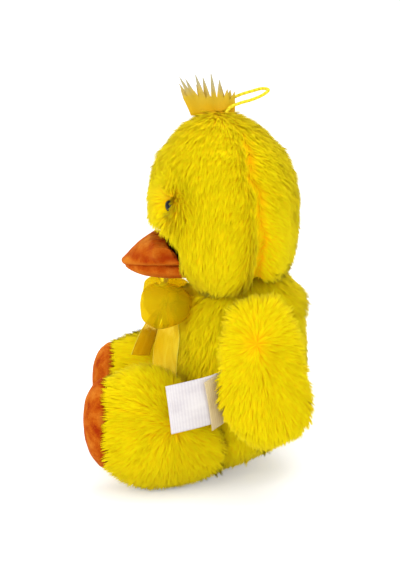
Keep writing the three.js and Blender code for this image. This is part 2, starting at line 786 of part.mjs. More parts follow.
const origin = new THREE.Vector3(0, 0, 0);
const otherShoulder = shoulder.point.clone().multiply(new THREE.Vector3(-1, 1, 1));
const group = new THREE.Group();
group.add(
  body(origin, [
    ["torso_cover", torsoCover, pileYellow],
    ["torso_stuffing", torsoStuffing, fibreWhite],
    ["neck_ribbon", neckRibbon, ribbonGold],
    ["bow_knot", bowKnot, ribbonGold],
    ["left_bow_loop", bowLoop, ribbonGold],
    ["right_bow_loop", mirrored(bowLoop), ribbonGold],
    ["left_ribbon_tail", leftTail, ribbonGold],
    ["right_ribbon_tail", rightTail, ribbonGold],
    ["care_label", careLabel, labelWhite],
    ["size_label", sizeLabel, labelCream],
  ]),
  body(neck.point, [
    ["head_cover", headCover, pileYellow],
    ["head_stuffing", headStuffing, fibreWhite],
    ["upper_beak", upperBeak, velourOrange],
    ["lower_beak", lowerBeak, velourOrange],
    ["left_eye", leftEye, eyeBlack],
    ["right_eye", mirrored(leftEye), eyeBlack],
    ["left_eye_washer", leftWasher, washerWhite],
    ["right_eye_washer", mirrored(leftWasher), washerWhite],
    ["head_tuft", headTuft, fringeGold],
  ]),
  body(loopHinge.point, [["hanging_loop", hangingLoop, cordYellow]]),
  body(shoulder.point, [
    ["left_arm_cover", leftArm.cover, pileYellow],
    ["left_arm_stuffing", leftArm.stuffing, fibreWhite],
  ]),
  body(otherShoulder, [
    ["right_arm_cover", mirrored(rightArm.cover), pileYellow],
    ["right_arm_stuffing", mirrored(rightArm.stuffing), fibreWhite],
  ]),
  body(hip.point, [
    ["left_leg_cover", legCover, pileYellow],
    ["left_leg_stuffing", legStuffing, fibreWhite],
    ["left_sole", sole, velourOrange],
  ]),
  body(hip.point, [
    ["right_leg_cover", mirrored(legCover), pileYellow],
    ["right_leg_stuffing", mirrored(legStuffing), fibreWhite],
    ["right_sole", mirrored(sole), velourOrange],
  ]),
);

export default group;
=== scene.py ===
"""A sitting plush duck in long yellow pile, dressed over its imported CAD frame.

Every piece is in metres in the CAD frame: +Z up, the duck faces -Y, its left side is +X.
"""

from __future__ import annotations

import logging
import math
from collections.abc import Callable, Sequence
from dataclasses import dataclass, field
from enum import Enum

import bmesh
import bpy
import numpy as np
from mathutils import Matrix, Vector, noise
from mathutils.bvhtree import BVHTree
from mathutils.kdtree import KDTree


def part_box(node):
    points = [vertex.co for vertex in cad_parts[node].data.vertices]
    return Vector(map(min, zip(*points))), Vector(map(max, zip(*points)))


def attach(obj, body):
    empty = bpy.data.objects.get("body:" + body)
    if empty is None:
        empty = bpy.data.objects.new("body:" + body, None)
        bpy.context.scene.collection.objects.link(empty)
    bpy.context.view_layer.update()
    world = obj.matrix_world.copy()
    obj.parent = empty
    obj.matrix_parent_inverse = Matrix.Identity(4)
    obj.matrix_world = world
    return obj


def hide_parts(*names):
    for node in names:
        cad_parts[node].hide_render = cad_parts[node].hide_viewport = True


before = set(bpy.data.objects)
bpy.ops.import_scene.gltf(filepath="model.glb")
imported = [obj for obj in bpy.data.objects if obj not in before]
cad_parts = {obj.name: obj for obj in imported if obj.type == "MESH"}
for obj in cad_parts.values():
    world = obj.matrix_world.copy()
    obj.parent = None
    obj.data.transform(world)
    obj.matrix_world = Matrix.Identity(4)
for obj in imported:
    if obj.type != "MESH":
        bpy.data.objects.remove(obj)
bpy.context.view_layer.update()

log = logging.getLogger("duck")

MM = 0.001
UP = Vector((0, 0, 1))
FLOOR_CLEAR = 0.3 * MM  # how far the lowest pile stays above the floor
SOFT_SHARE = 0.5  # the share of the way to a soft neighbour that a lock may take
FIRM_SHARE = 0.92  # and to a firm one


class Side(Enum):
    """One side of the duck, with the sign of its X."""

    LEFT = 1
    RIGHT = -1

    @property
    def word(self) -> str:
        """The side's word in the names of nodes and bodies."""
        return self.name.lower()


class Hold(Enum):
    """How a sheet of cloth is held."""

    GATHERED = "gathered"
    STRETCHED = "stretched"
    HUNG = "hung"


# Camera, light and floor.


@dataclass
class Studio:
    """The camera at the photograph's angle, plain soft light, and a pale sweep to stand on."""

    azimuth: float = 90.0
    elevation: float = 13.0
    distance: float = 1.4
    look_at: tuple[float, float, float] = (0.0, -0.0106, 0.1614)
    lens: float = 104.0
    sensor: float = 36.0
    sweep_wide: float = 9.0
    sweep_near: float = 4.0
    sweep_far: float = 2.6
    sweep_high: float = 3.0
    sweep_radius: float = 0.8
    world_level: float = 0.98
    floor_lift: float = 0.3
    lamps: tuple[tuple[str, tuple[float, float, float], float, float], ...] = (
        ("key", (2.1, -0.5, 1.0), 1.5, 8.5), ("fill", (1.2, 1.9, 1.0), 1.6, 4.0),
        ("front", (1.3, -1.9, 0.6), 1.4, 11.0), ("top", (-0.5, 0.2, 2.1), 1.4, 15.0))

    def build(self) -> None:
        """Makes the camera, the lamps, the world and the sweep."""
        self._camera()
        self._world()
        for name, place, size, watts in self.lamps:
            self._lamp(name, place, size, watts)
        self._sweep()
        bpy.context.scene.view_settings.view_transform = "Standard"
        log.info("studio built")

    def _camera(self) -> None:
        """Places the camera by azimuth, elevation and distance round the look-at point."""
        a, e = math.radians(self.azimuth), math.radians(self.elevation)
        back = Vector((math.sin(a) * math.cos(e), -math.cos(a) * math.cos(e), math.sin(e)))
        data = bpy.data.cameras.new("camera")
        data.lens, data.sensor_width = self.lens, self.sensor
        data.clip_start, data.clip_end = 0.05, 50.0
        camera = bpy.data.objects.new("camera", data)
        camera.location = Vector(self.look_at) + back * self.distance
        camera.rotation_mode = "QUATERNION"
        camera.rotation_quaternion = (-back).to_track_quat("-Z", "Y")
        bpy.context.scene.collection.objects.link(camera)
        bpy.context.scene.camera = camera

    def _world(self) -> None:
        """An even white sky. The camera sees it as plain white."""
        world = bpy.data.worlds.new("even_sky")
        bpy.context.scene.world = world
        world.use_nodes = True
        tree = world.node_tree
        tree.nodes.clear()
        path = add(tree, "LightPath")
        seen = add(tree, "Math", {0: (path, "Is Camera Ray"), 1: (path, "Is Glossy Ray")},
                   operation="MAXIMUM")
        level = add(tree, "MapRange",
                    {"Value": (seen, 0), "To Min": self.world_level, "To Max": 1.0})
        sky = add(tree, "Background",
                  {"Color": (1, 1, 1, 1), "Strength": (level, "Result")})
        add(tree, "OutputWorld", {"Surface": (sky, 0)})

    def _lamp(self, name: str, place: tuple[float, float, float], size: float,
              watts: float) -> None:
        """Adds one square softbox that faces the middle of the duck.

        Args:
            name: The lamp's name.
            place: Where it stands, in metres.
            size: The length of its side, in metres.
            watts: Its power.
        """
        data = bpy.data.lights.new(name, "AREA")
        data.shape, data.size, data.energy = "SQUARE", size, watts
        lamp = bpy.data.objects.new(name, data)
        lamp.location = place
        lamp.rotation_mode = "QUATERNION"
        lamp.rotation_quaternion = (Vector(self.look_at) - lamp.location).to_track_quat("-Z", "Y")
        bpy.context.scene.collection.objects.link(lamp)

    def _sweep(self) -> None:
        """The floor, which curves up behind the duck into a backdrop."""
        bm = bmesh.new()
        bmesh.ops.create_grid(bm, x_segments=1, y_segments=1, size=0.5)
        deep = self.sweep_near + self.sweep_far
        bmesh.ops.scale(bm, verts=bm.verts, vec=(deep, self.sweep_wide, 1))
        bmesh.ops.translate(bm, verts=bm.verts, vec=((self.sweep_near - self.sweep_far) / 2, 0, 0))
        far = [e for e in bm.edges if all(v.co.x < 0 for v in e.verts)]
        bend = bmesh.ops.spin(bm, geom=far, cent=(-self.sweep_far, 0, self.sweep_radius),
                              axis=(0, 1, 0), angle=math.pi / 2, steps=16)
        top = [g for g in bend["geom_last"] if isinstance(g, bmesh.types.BMEdge)]
        wall = bmesh.ops.extrude_edge_only(bm, edges=top)
        raised = [g for g in wall["geom"] if isinstance(g, bmesh.types.BMVert)]
        bmesh.ops.translate(bm, verts=raised, vec=(0, 0, self.sweep_high))
        bmesh.ops.recalc_face_normals(bm, faces=bm.faces)
        sweep = finished(bm, "sweep", smooth=True)
        sweep.data.materials.append(self._sweep_paint())

    def _sweep_paint(self) -> bpy.types.Material:
        """Matt white paper. What the camera sees of it is lifted to white and keeps its shadow.

        Returns:
            The material.
        """
        material, tree = empty_material("white_paper")
        path = add(tree, "LightPath")
        seen = add(tree, "Math", {0: (path, "Is Camera Ray"), 1: (path, "Is Glossy Ray")},
                   operation="MAXIMUM")
        through = add(tree, "Math", {0: (seen, 0), 1: (path, "Is Transmission Ray")},
                      operation="MAXIMUM")
        lift = add(tree, "Math", {0: (through, 0), 1: self.floor_lift}, operation="MULTIPLY")
        paper = add(tree, "BsdfDiffuse", {"Color": linear(0xF4F4F4)})
        glow = add(tree, "Emission", {"Color": (1, 1, 1, 1), "Strength": (lift, 0)})
        both = add(tree, "AddShader", {0: (paper, 0), 1: (glow, 0)})
        add(tree, "OutputMaterial", {"Surface": (both, 0)})
        return material


# Materials.


def linear(colour: int) -> tuple[float, float, float, float]:
    """Turns an sRGB hex colour to linear.

    Args:
        colour: The colour as 0xRRGGBB.

    Returns:
        Linear red, green, blue and an alpha of 1.
    """
    parts = [((colour >> shift) & 255) / 255 for shift in (16, 8, 0)]
    out = [p / 12.92 if p <= 0.04045 else ((p + 0.055) / 1.055) ** 2.4 for p in parts]
    return (out[0], out[1], out[2], 1.0)


def add(tree: bpy.types.NodeTree, kind: str, inputs: dict | None = None,
        stops: Sequence[tuple[float, int]] = (), **settings) -> bpy.types.Node:
    """Adds a node with its settings, values and links.

    Args:
        tree: The node tree.
        kind: The node's type, less the ShaderNode before it.
        inputs: For each input's name or number, a value or a (node, output) pair to link.
        stops: A colour ramp's stops, each a position and an sRGB hex colour.
        settings: The node's own properties.

    Returns:
        The node.
    """
    made = tree.nodes.new(f"ShaderNode{kind}")
    for name, value in settings.items():
        setattr(made, name, value)
    for key, value in (inputs or {}).items():
        if isinstance(value, tuple) and isinstance(value[0], bpy.types.Node):
            tree.links.new(value[0].outputs[value[1]], made.inputs[key])
        else:
            made.inputs[key].default_value = value
    for i, (position, colour) in enumerate(stops):
        elements = made.color_ramp.elements
        element = elements[i] if i < len(elements) else elements.new(position)
        element.position, element.color = position, linear(colour)
    return made


def empty_material(name: str) -> tuple[bpy.types.Material, bpy.types.NodeTree]:
    """Makes a material with no nodes.

    Args:
        name: The material's name.

    Returns:
        The material and its node tree.
    """
    material = bpy.data.materials.new(name)
    material.use_nodes = True
    material.node_tree.nodes.clear()
    return material, material.node_tree


@dataclass(frozen=True)
class LongPile:
    """Combed polyester pile on a knitted back: matt, with a soft sheen along each lock.

    The roots lie in each other's bounced light and look golden; the tips are paler.
    """

    name: str = "long_polyester_pile"
    root: int = 0xFFAC00
    low: int = 0xFFCC00
    body: int = 0xFFE800
    tip: int = 0xFFF208
    golden: int = 0xFFCC00
    patch: float = 24 * MM  # width of a patch that leans golden
    roughness: float = 0.8
    sheen: float = 0.14

    def make(self) -> bpy.types.Material:
        """Builds the material from the pile's own attributes: t along a lock, lock for its tint.

        Returns:
            The material.
        """
        material, tree = empty_material(self.name)
        height = add(tree, "Attribute", attribute_name="pile_t")
        lock = add(tree, "Attribute", attribute_name="lock")
        place = add(tree, "TexCoord")
        grown = add(tree, "ValToRGB", {"Fac": (height, "Fac")},
                    [(0.0, self.root), (0.3, self.low), (0.7, self.body), (1.0, self.tip)])
        patches = add(tree, "TexNoise", {
            "Vector": (place, "Object"), "Scale": 1 / self.patch, "Detail": 3.0})
        share = add(tree, "MapRange", {
            "Value": (patches, 0), "From Min": 0.5, "From Max": 0.8, "To Max": 0.35})
        dull = add(tree, "MapRange", {"Value": (lock, "Fac"), "To Min": 0.5, "To Max": 0.0})
        both = add(tree, "Math", {0: (share, 0), 1: (dull, 0)}, operation="MAXIMUM")
        warm = add(tree, "Mix", {0: (both, 0), 6: (grown, 0), 7: linear(self.golden)},
                   data_type="RGBA")
        level = add(tree, "MapRange", {"Value": (lock, "Fac"), "To Min": 0.95, "To Max": 1.0})
        tinted = add(tree, "HueSaturation", {"Color": (warm, 2), "Value": (level, 0)})
        cloth = add(tree, "BsdfPrincipled", {
            "Base Color": (tinted, 0), "Roughness": self.roughness, "IOR": 1.5,
            "Specular IOR Level": 0.05, "Sheen Weight": self.sheen, "Sheen Roughness": 0.5,
            "Sheen Tint": linear(0xFFF080)})
        add(tree, "OutputMaterial", {"Surface": (cloth, 0)})
        return material


@dataclass(frozen=True)
class Velour:
    """Brushed polyester velour: a dense short nap that turns light or dark as it is stroked."""

    name: str = "brushed_velour"
    deep: int = 0x9A2C00
    body: int = 0xB85406
    light: int = 0xD07A22
    stroke: float = 15 * MM  # width of a stroked patch
    grit: float = 1.1 * MM  # tufts of nap, drawn coarser than they are so that they show
    roughness: float = 0.88
    sheen: float = 0.2

    def make(self) -> bpy.types.Material:
        """Builds the material: stroked patches, nap grain, and painted light and shade, read from
        the shade attribute, that stand in for the lip's roll and the depth of hollows, creases and
        seams.

        Returns:
            The material.
        """
        material, tree = empty_material(self.name)
        place = add(tree, "TexCoord")
        shade = add(tree, "Attribute", attribute_name="shade")
        strokes = add(tree, "TexNoise", {
            "Vector": (place, "Object"), "Scale": 1 / self.stroke, "Detail": 4.0, "Roughness": 0.6})
        grain = add(tree, "TexNoise", {
            "Vector": (place, "Object"), "Scale": 1 / self.grit, "Detail": 2.0})
        grained = add(tree, "Math", {0: (grain, 0), 1: 0.22, 2: (strokes, 0)},
                      operation="MULTIPLY_ADD")
        stroked = add(tree, "ValToRGB", {"Fac": (grained, 0)},
                      [(0.44, self.deep), (0.6, self.body), (0.82, self.light)])
        # Painted light and shade: above 0 the shade attribute mixes the nap towards the light
        # colour, below 0 towards the deep one.
        lit = add(tree, "Mix", {0: (shade, "Fac"), 6: (stroked, 0), 7: linear(self.light)},
                  data_type="RGBA")
        dark = add(tree, "Math", {0: (shade, "Fac"), 1: -1.0}, operation="MULTIPLY", use_clamp=True)
        coloured = add(tree, "Mix", {0: (dark, 0), 6: (lit, 2), 7: linear(self.deep)},
                       data_type="RGBA")
        nap = add(tree, "Bump", {"Strength": 0.35, "Distance": 0.4 * MM, "Height": (grain, 0)})
        cloth = add(tree, "BsdfPrincipled", {
            "Base Color": (coloured, 2), "Roughness": self.roughness, "IOR": 1.5,
            "Specular IOR Level": 0.06, "Sheen Weight": self.sheen, "Sheen Roughness": 0.4,
            "Sheen Tint": linear(0xFF9030), "Normal": (nap, 0)})
        add(tree, "OutputMaterial", {"Surface": (cloth, 0)})
        return material


@dataclass(frozen=True)
class Woven:
    """What every flat woven finish here shares: its name, its cut size and a plain weave on it.

    The weaves' real pitches of 0.2 to 0.3 mm are too fine to show, so they are drawn coarser.
    """

    name: str
    wide: float = 36 * MM
    long: float = 62 * MM
    pitch: float = 1.3 * MM

    def weave(self, tree: bpy.types.NodeTree) -> tuple[bpy.types.Node, bpy.types.Node]:
        """Adds the weave on the piece's own map: u along it, v across.

        Args:
            tree: The material's node tree.

        Returns:
            The map's node and the weave's, from 0 in its openings to 1 on its threads.
        """
        place = add(tree, "UVMap", uv_map="OFBake")
        sized = add(tree, "Mapping", {
            "Vector": (place, 0), "Scale": (self.long / self.pitch, self.wide / self.pitch, 1)})
        weft = add(tree, "TexWave", {"Vector": (sized, 0), "Scale": 0.32}, bands_direction="X")
        warp = add(tree, "TexWave", {"Vector": (sized, 0), "Scale": 0.32}, bands_direction="Y")
        return place, add(tree, "Math", {0: (weft, 1), 1: (warp, 1)}, operation="MULTIPLY")


@dataclass(frozen=True)
class Organza(Woven):
    """Sheer polyester organza ribbon: an open plain weave between two bright woven edges."""

    body: int = 0xDEC200
    shadow: int = 0xCCA600
    edge: int = 0xF4E450
    clear: float = 0.42  # how much light one layer lets by
    tint: int = 0xF6D60C
    edge_wide: float = 0.8 * MM
    roughness: float = 0.6

    def make(self) -> bpy.types.Material:
        """Builds the material.

        Returns:
            The material.
        """
        material, tree = empty_material(self.name)
        place, weave = self.weave(tree)
        axes = add(tree, "SeparateXYZ", {"Vector": (place, 0)})
        middle = add(tree, "Math", {0: (axes, 1), 1: 0.5}, operation="SUBTRACT")
        out = add(tree, "Math", {0: (middle, 0)}, operation="ABSOLUTE")
        hem = add(tree, "Math", {0: (out, 0), 1: 0.5 - self.edge_wide / self.wide},
                  operation="GREATER_THAN")
        # Painted shade of folds: noise that mixes the body towards the shadow colour.
        folds = add(tree, "TexNoise", {
            "Vector": (place, 0), "Scale": 3.0, "Detail": 3.0, "Distortion": 1.5})
        tone = add(tree, "Math", {0: (weave, 0), 1: 0.03, 2: (folds, 0)}, operation="MULTIPLY_ADD")
        threads = add(tree, "ValToRGB", {"Fac": (tone, 0)},
                      [(0.35, self.shadow), (0.65, self.body)])
        coloured = add(tree, "Mix", {0: (hem, 0), 6: (threads, 0), 7: linear(self.edge)},
                       data_type="RGBA")
        open_cloth = add(tree, "MapRange", {
            "Value": (weave, 0), "To Min": 1 - self.clear * 1.1, "To Max": 1 - self.clear * 0.9})
        thick = add(tree, "Math", {0: (open_cloth, 0), 1: (hem, 0)}, operation="MAXIMUM")
        cloth = add(tree, "BsdfPrincipled", {
            "Base Color": (coloured, 2), "Roughness": self.roughness, "IOR": 1.5,
            "Specular IOR Level": 0.12, "Sheen Weight": 0.1, "Sheen Tint": linear(0xFFE040)})
        gaps = add(tree, "BsdfTransparent", {"Color": linear(self.tint)})
        both = add(tree, "MixShader", {0: (thick, 0), 1: (gaps, 0), 2: (cloth, 0)})
        add(tree, "OutputMaterial", {"Surface": (both, 0)})
        return material


@dataclass(frozen=True)
class WovenTape(Woven):
    """Damask label tape: a close satin weave, slightly uneven in tone."""

    pitch: float = 1.1 * MM
    body: int = 0xE6E1E1
    shade: int = 0xD2CBCD

    def make(self) -> bpy.types.Material:
        """Builds the material.

        Returns:
            The material.
        """
        material, tree = empty_material(self.name)
        place, weave = self.weave(tree)
        wear = add(tree, "TexNoise", {"Vector": (place, 0), "Scale": 3.0, "Detail": 3.0})
        tone = add(tree, "Math", {0: (weave, 0), 1: 0.35, 2: (wear, 0)}, operation="MULTIPLY_ADD")
        threads = add(tree, "ValToRGB", {"Fac": (tone, 0)}, [(0.35, self.shade), (0.75, self.body)])
        raised = add(tree, "Bump", {"Strength": 0.25, "Distance": 0.15 * MM, "Height": (weave, 0)})
        cloth = add(tree, "BsdfPrincipled", {
            "Base Color": (threads, 0), "Roughness": 0.6, "IOR": 1.5, "Specular IOR Level": 0.2,
            "Normal": (raised, 0)})
        add(tree, "OutputMaterial", {"Surface": (cloth, 0)})
        return material


@dataclass(frozen=True)
class StiffOrganza:
    """Resin-stiffened organza, golden at the crown and greying to its heat-cut points."""

    name: str = "stiff_organza"
    foot: int = 0xD8AC00
    body: int = 0xD4B428
    tip: int = 0xA9A68E
    mottle: float = 9 * MM
    pitch: float = 1.2 * MM
    solid_foot: float = 0.9
    solid_tip: float = 0.55

    def make(self) -> bpy.types.Material:
        """Builds the material on how far up the fringe a point is.

        Returns:
            The material.
        """
        material, tree = empty_material(self.name)
        up = add(tree, "Attribute", attribute_name="up")
        solid = add(tree, "TexCoord")
        mottle = add(tree, "TexNoise", {
            "Vector": (solid, "Object"), "Scale": 1 / self.mottle, "Detail": 2.0})
        high = add(tree, "Math", {0: (mottle, 0), 1: 0.3, 2: (up, "Fac")}, operation="MULTIPLY_ADD")
        faded = add(tree, "ValToRGB", {"Fac": (high, 0)},
                    [(0.3, self.foot), (0.6, self.body), (0.95, self.tip)])
        grid = add(tree, "TexNoise", {"Vector": (solid, "Object"), "Scale": 1 / self.pitch})
        lift = add(tree, "Bump", {"Strength": 0.2, "Distance": 0.2 * MM, "Height": (grid, 0)})
        thick = add(tree, "MapRange", {
            "Value": (up, "Fac"), "From Min": 0.15, "To Min": self.solid_foot,
            "To Max": self.solid_tip})
        cloth = add(tree, "BsdfPrincipled", {
            "Base Color": (faded, 0), "Roughness": 0.55, "IOR": 1.5, "Specular IOR Level": 0.2,
            "Normal": (lift, 0)})
        gaps = add(tree, "BsdfTransparent", {"Color": linear(0xFFF0B0)})
        both = add(tree, "MixShader", {0: (thick, 0), 1: (gaps, 0), 2: (cloth, 0)})
        add(tree, "OutputMaterial", {"Surface": (both, 0)})
        return material


@dataclass(frozen=True)
class SatinCord:
    """Braided rayon satin cord: bright diagonal ribs with shaded grooves between them."""

    name: str = "satin_cord"
    rib: int = 0xF0E020
    # painted shade in the grooves between the ribs
    groove_shade: int = 0xD8C400
    ribs: float = 46.0  # over the loop's whole length

    def make(self) -> bpy.types.Material:
        """Builds the material on the cord's own map: u along it, v round it.

        Returns:
            The material.
        """
        material, tree = empty_material(self.name)
        place = add(tree, "UVMap", uv_map="OFBake")
        sized = add(tree, "Mapping", {"Vector": (place, 0), "Scale": (self.ribs, 1.0, 1)})
        ribs = add(tree, "TexWave", {"Vector": (sized, 0), "Scale": 0.32, "Distortion": 0.6},
                   bands_direction="DIAGONAL")
        coloured = add(tree, "ValToRGB", {"Fac": (ribs, 1)}, [(0.15, self.groove_shade), (0.6, self.rib)])
        lift = add(tree, "Bump", {"Strength": 0.25, "Distance": 0.15 * MM, "Height": (ribs, 1)})
        cloth = add(tree, "BsdfPrincipled", {
            "Base Color": (coloured, 0), "Roughness": 0.45, "IOR": 1.5, "Specular IOR Level": 0.3,
            "Normal": (lift, 0)})
        add(tree, "OutputMaterial", {"Surface": (cloth, 0)})
        return material


@dataclass(frozen=True)
class Moulded:
    """Injection-moulded plastic, with faint flow marks in its gloss."""

    name: str
    colour: int
    roughness: float
    shine: float = 0.5
    mark: float = 3 * MM

    def make(self) -> bpy.types.Material:
        """Builds the material: its colour, and a roughness that drifts with the flow marks.

        Returns:
            The material.
        """
        material, tree = empty_material(self.name)
        place = add(tree, "TexCoord")
        flow = add(tree, "TexNoise", {
            "Vector": (place, "Object"), "Scale": 1 / self.mark, "Detail": 2.0})
        rough = add(tree, "MapRange", {
            "Value": (flow, 0), "To Min": self.roughness * 0.7, "To Max": self.roughness * 1.4})
        solid = add(tree, "BsdfPrincipled", {
            "Base Color": linear(self.colour), "Roughness": (rough, 0), "IOR": 1.49,
            "Specular IOR Level": self.shine})
        add(tree, "OutputMaterial", {"Surface": (solid, 0)})
        return material


# Mesh tools.


def finished(bm: bmesh.types.BMesh, name: str, smooth: bool = False) -> bpy.types.Object:
    """Writes a bmesh to a new object at the origin and frees it.

    Args:
        bm: The shape, already in its place.
        name: The object's name.
        smooth: Whether its faces are shaded smooth.

    Returns:
        The object, linked to the scene.
    """
    mesh = bpy.data.meshes.new(name)
    bm.to_mesh(mesh)
    bm.free()
    if smooth:
        mesh.shade_smooth()
    made = bpy.data.objects.new(name, mesh)
    bpy.context.scene.collection.objects.link(made)
    return made


def copy_of(node: str, name: str) -> bpy.types.Object:
    """Copies a CAD node's mesh as one welded surface.

    Args:
        node: The CAD node.
        name: The copy's name.

    Returns:
        The copy.
    """
    bm = bmesh.new()
    bm.from_mesh(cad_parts[node].data)
    bmesh.ops.remove_doubles(bm, verts=bm.verts, dist=0.005 * MM)
    return finished(bm, name)


def modified(piece: bpy.types.Object, kind: str, **settings) -> bpy.types.Object:
    """Applies one modifier to a piece.

    Args:
        piece: The piece.
        kind: The modifier's type.
        settings: The modifier's own properties.

    Returns:
        The same piece.
    """
    modifier = piece.modifiers.new(kind.lower(), kind)
    for name, value in settings.items():
        setattr(modifier, name, value)
    bpy.context.view_layer.update()
    evaluated = piece.evaluated_get(bpy.context.evaluated_depsgraph_get())
    mesh = bpy.data.meshes.new_from_object(evaluated)
    piece.modifiers.clear()
    piece.data = mesh
    return piece


def finer(piece: bpy.types.Object, levels: int) -> bpy.types.Object:
    """Divides a piece smoothly, levels times over."""
    return modified(piece, "SUBSURF", levels=levels, render_levels=levels)


def seated(piece: bpy.types.Object, material: bpy.types.Material, body: str, slot: str,
           *nodes: str) -> bpy.types.Object:
    """Gives a piece its material and its place among the frame's pieces.

    Args:
        piece: The piece.
        material: Its material.
        body: The body that it rides on.
        slot: The name of a material slot; not used.
        nodes: The CAD nodes that it stands for.

    Returns:
        The same piece.
    """
    piece.data.materials.append(material)
    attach(piece, body)
    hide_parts(*nodes)
    log.info("%s: %d faces", piece.name, len(piece.data.polygons))
    return piece


def coordinates(mesh: bpy.types.Mesh) -> np.ndarray:
    """The mesh's vertices as an array of points.

    Args:
        mesh: The mesh.

    Returns:
        One row of x, y and z for each vertex.
    """
    out = np.empty(len(mesh.vertices) * 3)
    mesh.vertices.foreach_get("co", out)
    return out.reshape(-1, 3)


def set_coordinates(mesh: bpy.types.Mesh, points: np.ndarray) -> None:
    """Writes an array of points to the mesh's vertices.

    Args:
        mesh: The mesh.
        points: One row for each vertex.
    """
    mesh.vertices.foreach_set("co", points.astype(np.float32).ravel())
    mesh.update()


def normals_of(mesh: bpy.types.Mesh) -> np.ndarray:
    """The mesh's smooth vertex normals as an array.

    Args:
        mesh: The mesh.

    Returns:
        One row for each vertex.
    """
    out = np.empty(len(mesh.vertices) * 3)
    mesh.vertex_normals.foreach_get("vector", out)
    return out.reshape(-1, 3)


def corners_of(mesh: bpy.types.Mesh) -> np.ndarray:
    """The vertex number of each of a mesh's face corners.

    Args:
        mesh: The mesh.

    Returns:
        The numbers, face by face.
    """
    out = np.empty(len(mesh.loops), np.int32)
    mesh.loops.foreach_get("vertex_index", out)
    return out


def mark(mesh: bpy.types.Mesh, name: str, values: np.ndarray, domain: str = "POINT") -> None:
    """Writes a number for each of a mesh's points or faces.

    Args:
        mesh: The mesh.
        name: The attribute that holds the numbers.
        values: The numbers.
        domain: POINT or FACE.
    """
    made = mesh.attributes.new(name, "FLOAT", domain)
    made.data.foreach_set("value", values.astype(np.float32))


def lay_map(mesh: bpy.types.Mesh, places: np.ndarray) -> None:
    """Writes a mesh's map for baking.

    Args:
        mesh: The mesh.
        places: The u and v of each face corner.
    """
    bake = mesh.uv_layers.new(name="OFBake")
    bake.uv.foreach_set("vector", places.astype(np.float32).ravel())


def unit(vectors: np.ndarray) -> np.ndarray:
    """Vectors of length one."""
    return vectors / np.maximum(np.linalg.norm(vectors, axis=-1, keepdims=True), 1e-12)


def bell(distance: np.ndarray, width: float) -> np.ndarray:
    """A weight of 1 at distance 0 that fades over width."""
    return np.exp(-((distance / width) ** 2))


def ease(value: np.ndarray, low: float, high: float) -> np.ndarray:
    """A smooth step from 0 at low to 1 at high."""
    t = np.clip((value - low) / (high - low), 0, 1)
    return t * t * (3 - 2 * t)


def tree_of(piece: bpy.types.Object) -> BVHTree:
    """A search tree over the faces of a piece whose object is at the origin."""
    faces = [tuple(face.vertices) for face in piece.data.polygons]
    return BVHTree.FromPolygons([vert.co for vert in piece.data.vertices], faces)


def surface(name: str, steps: int, lanes: int, place: Callable[[float, float], Vector],
            close: bool = False) -> bpy.types.Object:
    """Lays a grid out as a strip, a sheet or a tube, with its map.

    Args:
        name: The object's name.
        steps: Faces along u.
        lanes: Faces along v.
        place: Gives the point at u and v, each from 0 to 1.
        close: Whether the grid's edges meet and are welded.

    Returns:
        The object. Its map OFBake holds u and v.
    """
    bm = bmesh.new()
    bmesh.ops.create_grid(bm, x_segments=steps, y_segments=lanes, size=0.5)
    own = bm.loops.layers.uv.new("OFBake")
    for face in bm.faces:
        for corner in face.loops:
            corner[own].uv = (corner.vert.co.x + 0.5, corner.vert.co.y + 0.5)
    for vert in bm.verts:
        vert.co = place(vert.co.x + 0.5, vert.co.y + 0.5)
    if close:
        bmesh.ops.remove_doubles(bm, verts=bm.verts, dist=0.002 * MM)
        bmesh.ops.holes_fill(bm, edges=[e for e in bm.edges if e.is_boundary], sides=64)
        bmesh.ops.recalc_face_normals(bm, faces=bm.faces)
    return finished(bm, name, smooth=True)


def along(points: Sequence[Vector], t: float) -> Vector:
    """The point at share t of a smooth curve through points.

    Args:
        points: What the curve passes through, evenly in t.
        t: The share of the way along it.

    Returns:
        The point.
    """
    last = len(points) - 1
    i = min(int(t * last), last - 1)
    f = t * last - i
    a, b = points[max(i - 1, 0)], points[i]
    c, d = points[i + 1], points[min(i + 2, last)]
    curve = b * 2 + (c - a) * f + (a * 2 - b * 5 + c * 4 - d) * f**2
    return (curve + (b * 3 - a - c * 3 + d) * f**3) / 2


def heading(points: Sequence[Vector], t: float) -> Vector:
    """The way that a curve runs at share t of it."""
    return (along(points, min(t + 0.01, 1)) - along(points, max(t - 0.01, 0))).normalized()


def length_of(route: Sequence[Vector]) -> float:
    """The length of a route from corner to corner."""
    return sum((b - a).length for a, b in zip(route, route[1:]))


def between(values: Sequence[float], t: float) -> float:
    """The value at share t of a run of values."""
    return float(np.interp(t * (len(values) - 1), range(len(values)), values))


def thickened(piece: bpy.types.Object, thick: float) -> bpy.types.Object:
    """Gives a sheet its thickness, half to each side."""
    return modified(piece, "SOLIDIFY", thickness=thick, offset=0)


